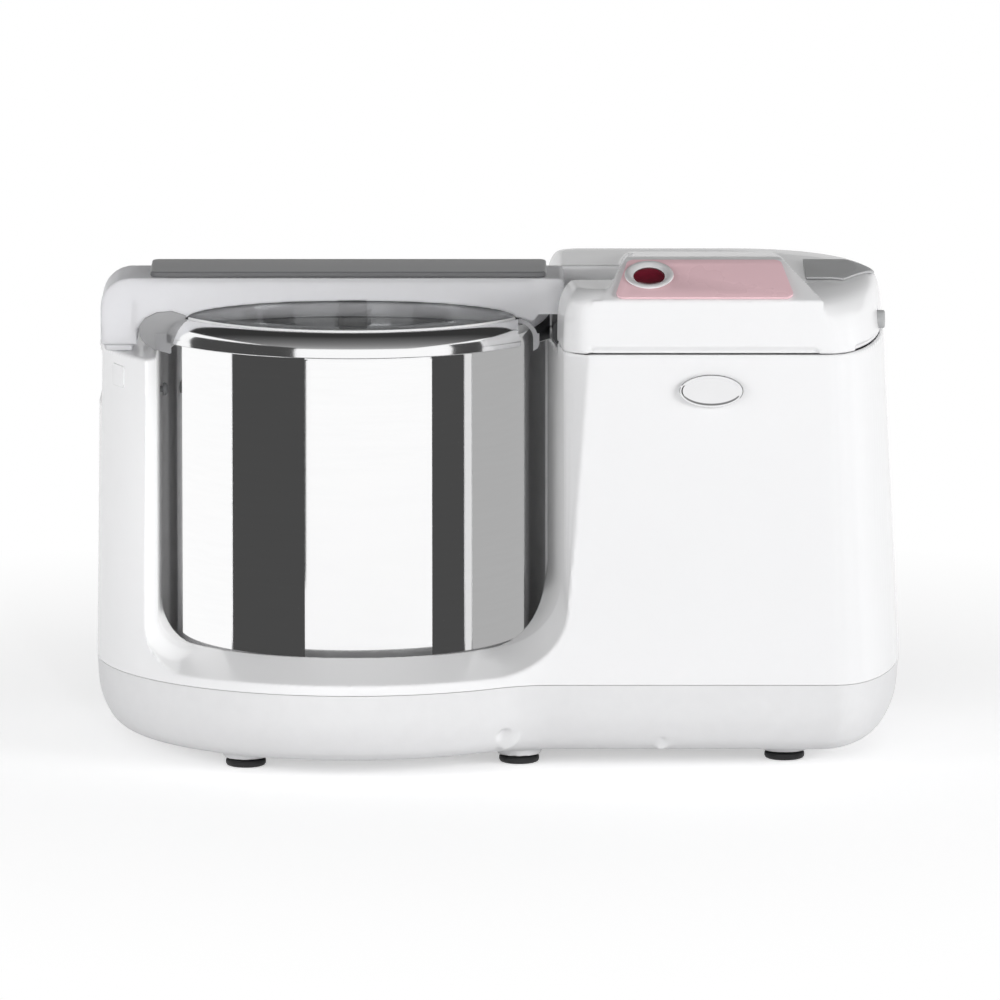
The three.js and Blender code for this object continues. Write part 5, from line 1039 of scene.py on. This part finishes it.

# %% [markdown]
# ## The lid
#
# The lid is a shallow smoky dome in a bright rim band around the drum's lip. Its middle is open
# for the stone holder's post, and at the tower its right edge is cut back, to clear the cap
# when it swings up. Two small ears guide it on the body. A grey sheet before the arm's left end
# gives a painted reflection of the rim band on through the arm, and a thin white ring gives a
# painted highlight where the dome meets the rim.

# %% Clear lid
LID_RADIUS, LID_WALL, LID_SKIRT, LID_BEND, LID_TURN = 105.5, 2, 207.3, 209.5, 9.0
LID_SHOULDER, LID_CROWN, LID_DOME, LID_OPEN = 219.2, 95.0, 10.0, 22
LID_UNDER = LID_SHOULDER - LID_WALL
SPLIT, RIM_STEPS = 0.05, 16
TRIM_REAR, TRIM_HINGE, TRIM_CHEEK = 78, 98.3, 82.5
EAR_FRONT, EAR_BACK, RIM_SHEET_FRONT, RIM_SHEET_BACK, HIGHLIGHT_RING_RADIUS = -52, -42, -51.6, -50.2, 0.55


def lid_curve(grow, last=None):
    """The lid's outside from skirt to crown, moved out by grow; last is the dome's last angle."""
    rise = LID_SHOULDER - LID_BEND + grow
    turn = oval_arc(LID_RADIUS - LID_TURN, LID_BEND, LID_TURN + grow, rise, 0, 90, RIM_STEPS)
    if last is None:
        return turn
    return turn + oval_arc(0, LID_SHOULDER + grow, LID_CROWN + grow, LID_DOME, 0, last, 28)


def dome_curve(grow):
    """The dome's outline from its shoulder to the opening in its middle, moved out by grow."""
    open_angle = math.degrees(math.acos(LID_OPEN / (LID_CROWN + grow)))
    return lid_curve(grow, open_angle)[RIM_STEPS + 1:]


def ear(name, inner, outer, side):
    """A small clear lug under the skirt, that guides the lid between the cheeks."""
    shape = [(inner, 212), (outer, 212), (outer, 206.4), (outer - 0.9, 204.4), (outer - 3, 203.2),
             (outer - 5, 202.6), (inner + 4.4, 202), (inner + 2.4, 202.6), (inner + 1, 204.2), (inner, 208.4)]
    piece = along_y(name, [(side * x, z) for x, z in shape], EAR_FRONT, EAR_BACK)
    room = [(0, 187), (LID_RADIUS - LID_WALL, 187)] + lid_curve(-LID_WALL) + [(0, LID_UNDER)]
    return carve(piece, turned("rim_room", room, 128))


def trim(name, x, y0, y1):
    """A tool that cuts the lid back to x, between two depths."""
    return block(name, x, 120, y0, y1, 100, 239)


dome_profile = [(LID_CROWN - SPLIT, LID_SHOULDER)] + dome_curve(0)[1:]
dome_profile += dome_curve(-LID_WALL)[:0:-1] + [(LID_CROWN - SPLIT, LID_UNDER)]
dome = turned("lid_dome", dome_profile, FINE_SIDES)
skirt = [(LID_RADIUS - LID_WALL, LID_SKIRT + 0.4), (LID_RADIUS - LID_WALL + 0.4, LID_SKIRT),
         (LID_RADIUS - 0.4, LID_SKIRT), (LID_RADIUS, LID_SKIRT + 0.4)]
meeting = [(LID_CROWN + SPLIT, LID_SHOULDER), (LID_CROWN + SPLIT, LID_UNDER)]
rim_profile = skirt + lid_curve(0) + meeting + lid_curve(-LID_WALL)[::-1]
rim = turned("lid_rim_band", rim_profile, FINE_SIDES)
add(rim, ear("lid_ear_left", 86, 97.5, -1), ear("lid_ear_right", 84, 93, 1))
for piece, look in ((dome, None), (rim, "lid_rim")):
    carve(piece, trim("rear_trim", TRIM_REAR, -3, 110), trim("hinge_trim", TRIM_HINGE, CHANNEL_FRONT, 0),
          trim("cheek_trim", TRIM_CHEEK, -64, CHANNEL_FRONT))
    place(smooth(piece, 40), "lid", "lid_clear", "lid_window", look=look)


def trimmed_side(face):
    """Whether a face is a flat one at the lid's side."""
    flat = max(abs(face.normal.x), abs(face.normal.y)) > 0.9995
    return flat and abs(face.center.x - AXIS.x) > 70 * MM


second_look(rim, "lid_edge", trimmed_side)

# A grey sheet just before the arm's front, in the rim's section: a painted reflection of the rim band, seen
# on through the arm.
rim_sheet_outline = [(-84, 212), (-88, 206), (-91, 203.2), (-98, 203.6), (-102, 206.1), (-105.2, 210.6),
              (-105.5, 215.7), (-102.5, 219.6), (-96.5, 222.6), (-89, 223.2), (-82, 221)]
rim_sheet = bevelled(along_y("rim_reflection_sheet", rim_sheet_outline, RIM_SHEET_FRONT, RIM_SHEET_BACK), 0.5)
place(rim_sheet, "lid", "lid_clear", "lid_window", look="rim_reflection_sheet")

# A thin white ring where the dome meets the rim: a painted highlight.
highlight_ring_profile = arc(LID_CROWN, LID_SHOULDER + 0.3, HIGHLIGHT_RING_RADIUS, 0, 330, 11)
highlight_ring = turned("lid_highlight_ring", highlight_ring_profile, FINE_SIDES)
carve(highlight_ring, block("bead_back", -120, 120, -50.4, 120, 200, 240),
      block("bead_side", TRIM_CHEEK, 120, -64, -50, 200, 240))
place(smooth(highlight_ring, 60), "lid", "lid_clear", "lid_window", look="lid_highlight_ring")

# %% [markdown]
# The arm bridges the drum. It is a milky moulding, hollow below, with a leg on the left pillar
# and a shoulder on the hinge at the tower. A grey grip strip lies along its top, with painted
# shade on its front and back faces.

# %% Arm and grip
ARM_LEFT, ARM_LEG, ARM_TOP, ARM_CORNER, ARM_RIGHT, SHOULDER = 124.5, 106.5, 239.4, 15.0, 105.5, 92.5
ARM_WALL, ARM_UNDER = 2.5, 218
FOOT_Z, HANG_Z = PILLAR_TOP + 3.8, HINGE_Z + BARREL_RADIUS + 0.9
GRIP_LONG, GRIP_DEEP, GRIP_Y, GRIP_CORNER = 196.5, 45.6, -27, 4


def arm_corner(radius):
    """The arm's round upper left corner."""
    return arc(-ARM_LEFT + ARM_CORNER, ARM_TOP - ARM_CORNER, radius, 180, 90, 16)


outline = [(-ARM_LEFT, FOOT_Z)] + arm_corner(ARM_CORNER) + arc(ARM_RIGHT - 3, ARM_TOP - 3, 3, 90, 0, 5)
outline += [(ARM_RIGHT, HANG_Z), (SHOULDER, HANG_Z), (SHOULDER - 2, ARM_UNDER),
            (-ARM_LEG + 4, ARM_UNDER), (-ARM_LEG, ARM_UNDER - 5), (-ARM_LEG, FOOT_Z)]
bridge = along_y("lid_bridge", outline, -ARM_FRONT, -ARM_REAR)
hollow = [(-ARM_LEFT + ARM_WALL, 195)] + arm_corner(ARM_CORNER - ARM_WALL)
hollow += [(SHOULDER - 3, ARM_TOP - ARM_WALL), (SHOULDER - 6, 195)]
carve(bridge, along_y("arm_room", hollow, -ARM_FRONT + ARM_WALL, -ARM_REAR - ARM_WALL))
add(bridge, block("leg_wall", -ARM_LEG - ARM_WALL, -ARM_LEG, -ARM_FRONT, -ARM_REAR, FOOT_Z, 227),
    block("strap", SHOULDER + 2, ARM_RIGHT - 0.5, -ARM_FRONT + 8, -ARM_REAR - 8, HANG_Z - 1, HANG_Z + 4),
    block("leg_foot", -ARM_LEFT + 2.2, -ARM_LEG - 2.2, -ARM_FRONT + 2.2, -ARM_REAR - 2.2,
          PILLAR_TOP + 0.3, FOOT_Z + 2))
under = [(0, 200), (LID_RADIUS + 0.3, 200)] + lid_curve(0.3, 90)[:-1] + [(0, LID_SHOULDER + LID_DOME + 0.3)]
carve(bridge, turned("under_dome", under, FINE_SIDES))
moulded(bridge, 0.8, 3, 150000)
place(bridge, "lid", "frost_clear", "lid_arm")

grip_x = middle_of("lid_handle_strip")[0]
grip_plan = [(grip_x + x, GRIP_Y + y) for x, y in rounded_rect(GRIP_LONG, GRIP_DEEP, GRIP_CORNER)]
grip = bevelled(plate("lid_grip", grip_plan, ARM_TOP + 0.3, ARM_TOP + 3.3), 1.1, 4)
place(grip, "lid", "grip_grey", "lid_handle_strip")
# The grip's front and back faces get the darker copy of its grey: painted shade.
second_look(grip, "grip_shade_and_dark_rubber", lambda face: abs(face.normal.y) > 0.3)

barrel = bar_along_y("hinge_drum", BARREL_RADIUS, HINGE_X, HINGE_Z, -ARM_FRONT, -ARM_REAR, 64)
carve(barrel, bar_along_y("bore", 2.8, HINGE_X, HINGE_Z, -60, 4))
add(barrel, block("web", 100, ARM_RIGHT, -46, -8, 214.2, 221))
bevelled(barrel, 0.6, 3, 50)
place(barrel, "lid", "black_plastic", "lid_hinge_barrel")

# %% [markdown]
# ## The drive
#
# Under the floor of the well and inside the tower the solids already have the right shapes:
# pulleys, belt, bearings and motor. They stay as they are, like the grommet in the rear wall,
# and get a finish each, from the material slots of the record.

# %% Finishes for the solids that stay
slots = {entry["node"]: entry["material_slot"] for entry in frame["record"]["subparts"]}
kept = [(name, piece) for name, piece in frame["nodes"].items() if not piece.hide_render]
for name, piece in kept:
    piece.data.materials.clear()
    piece.data.materials.append(looks[slots[name]])
print("solids kept:", len(kept))
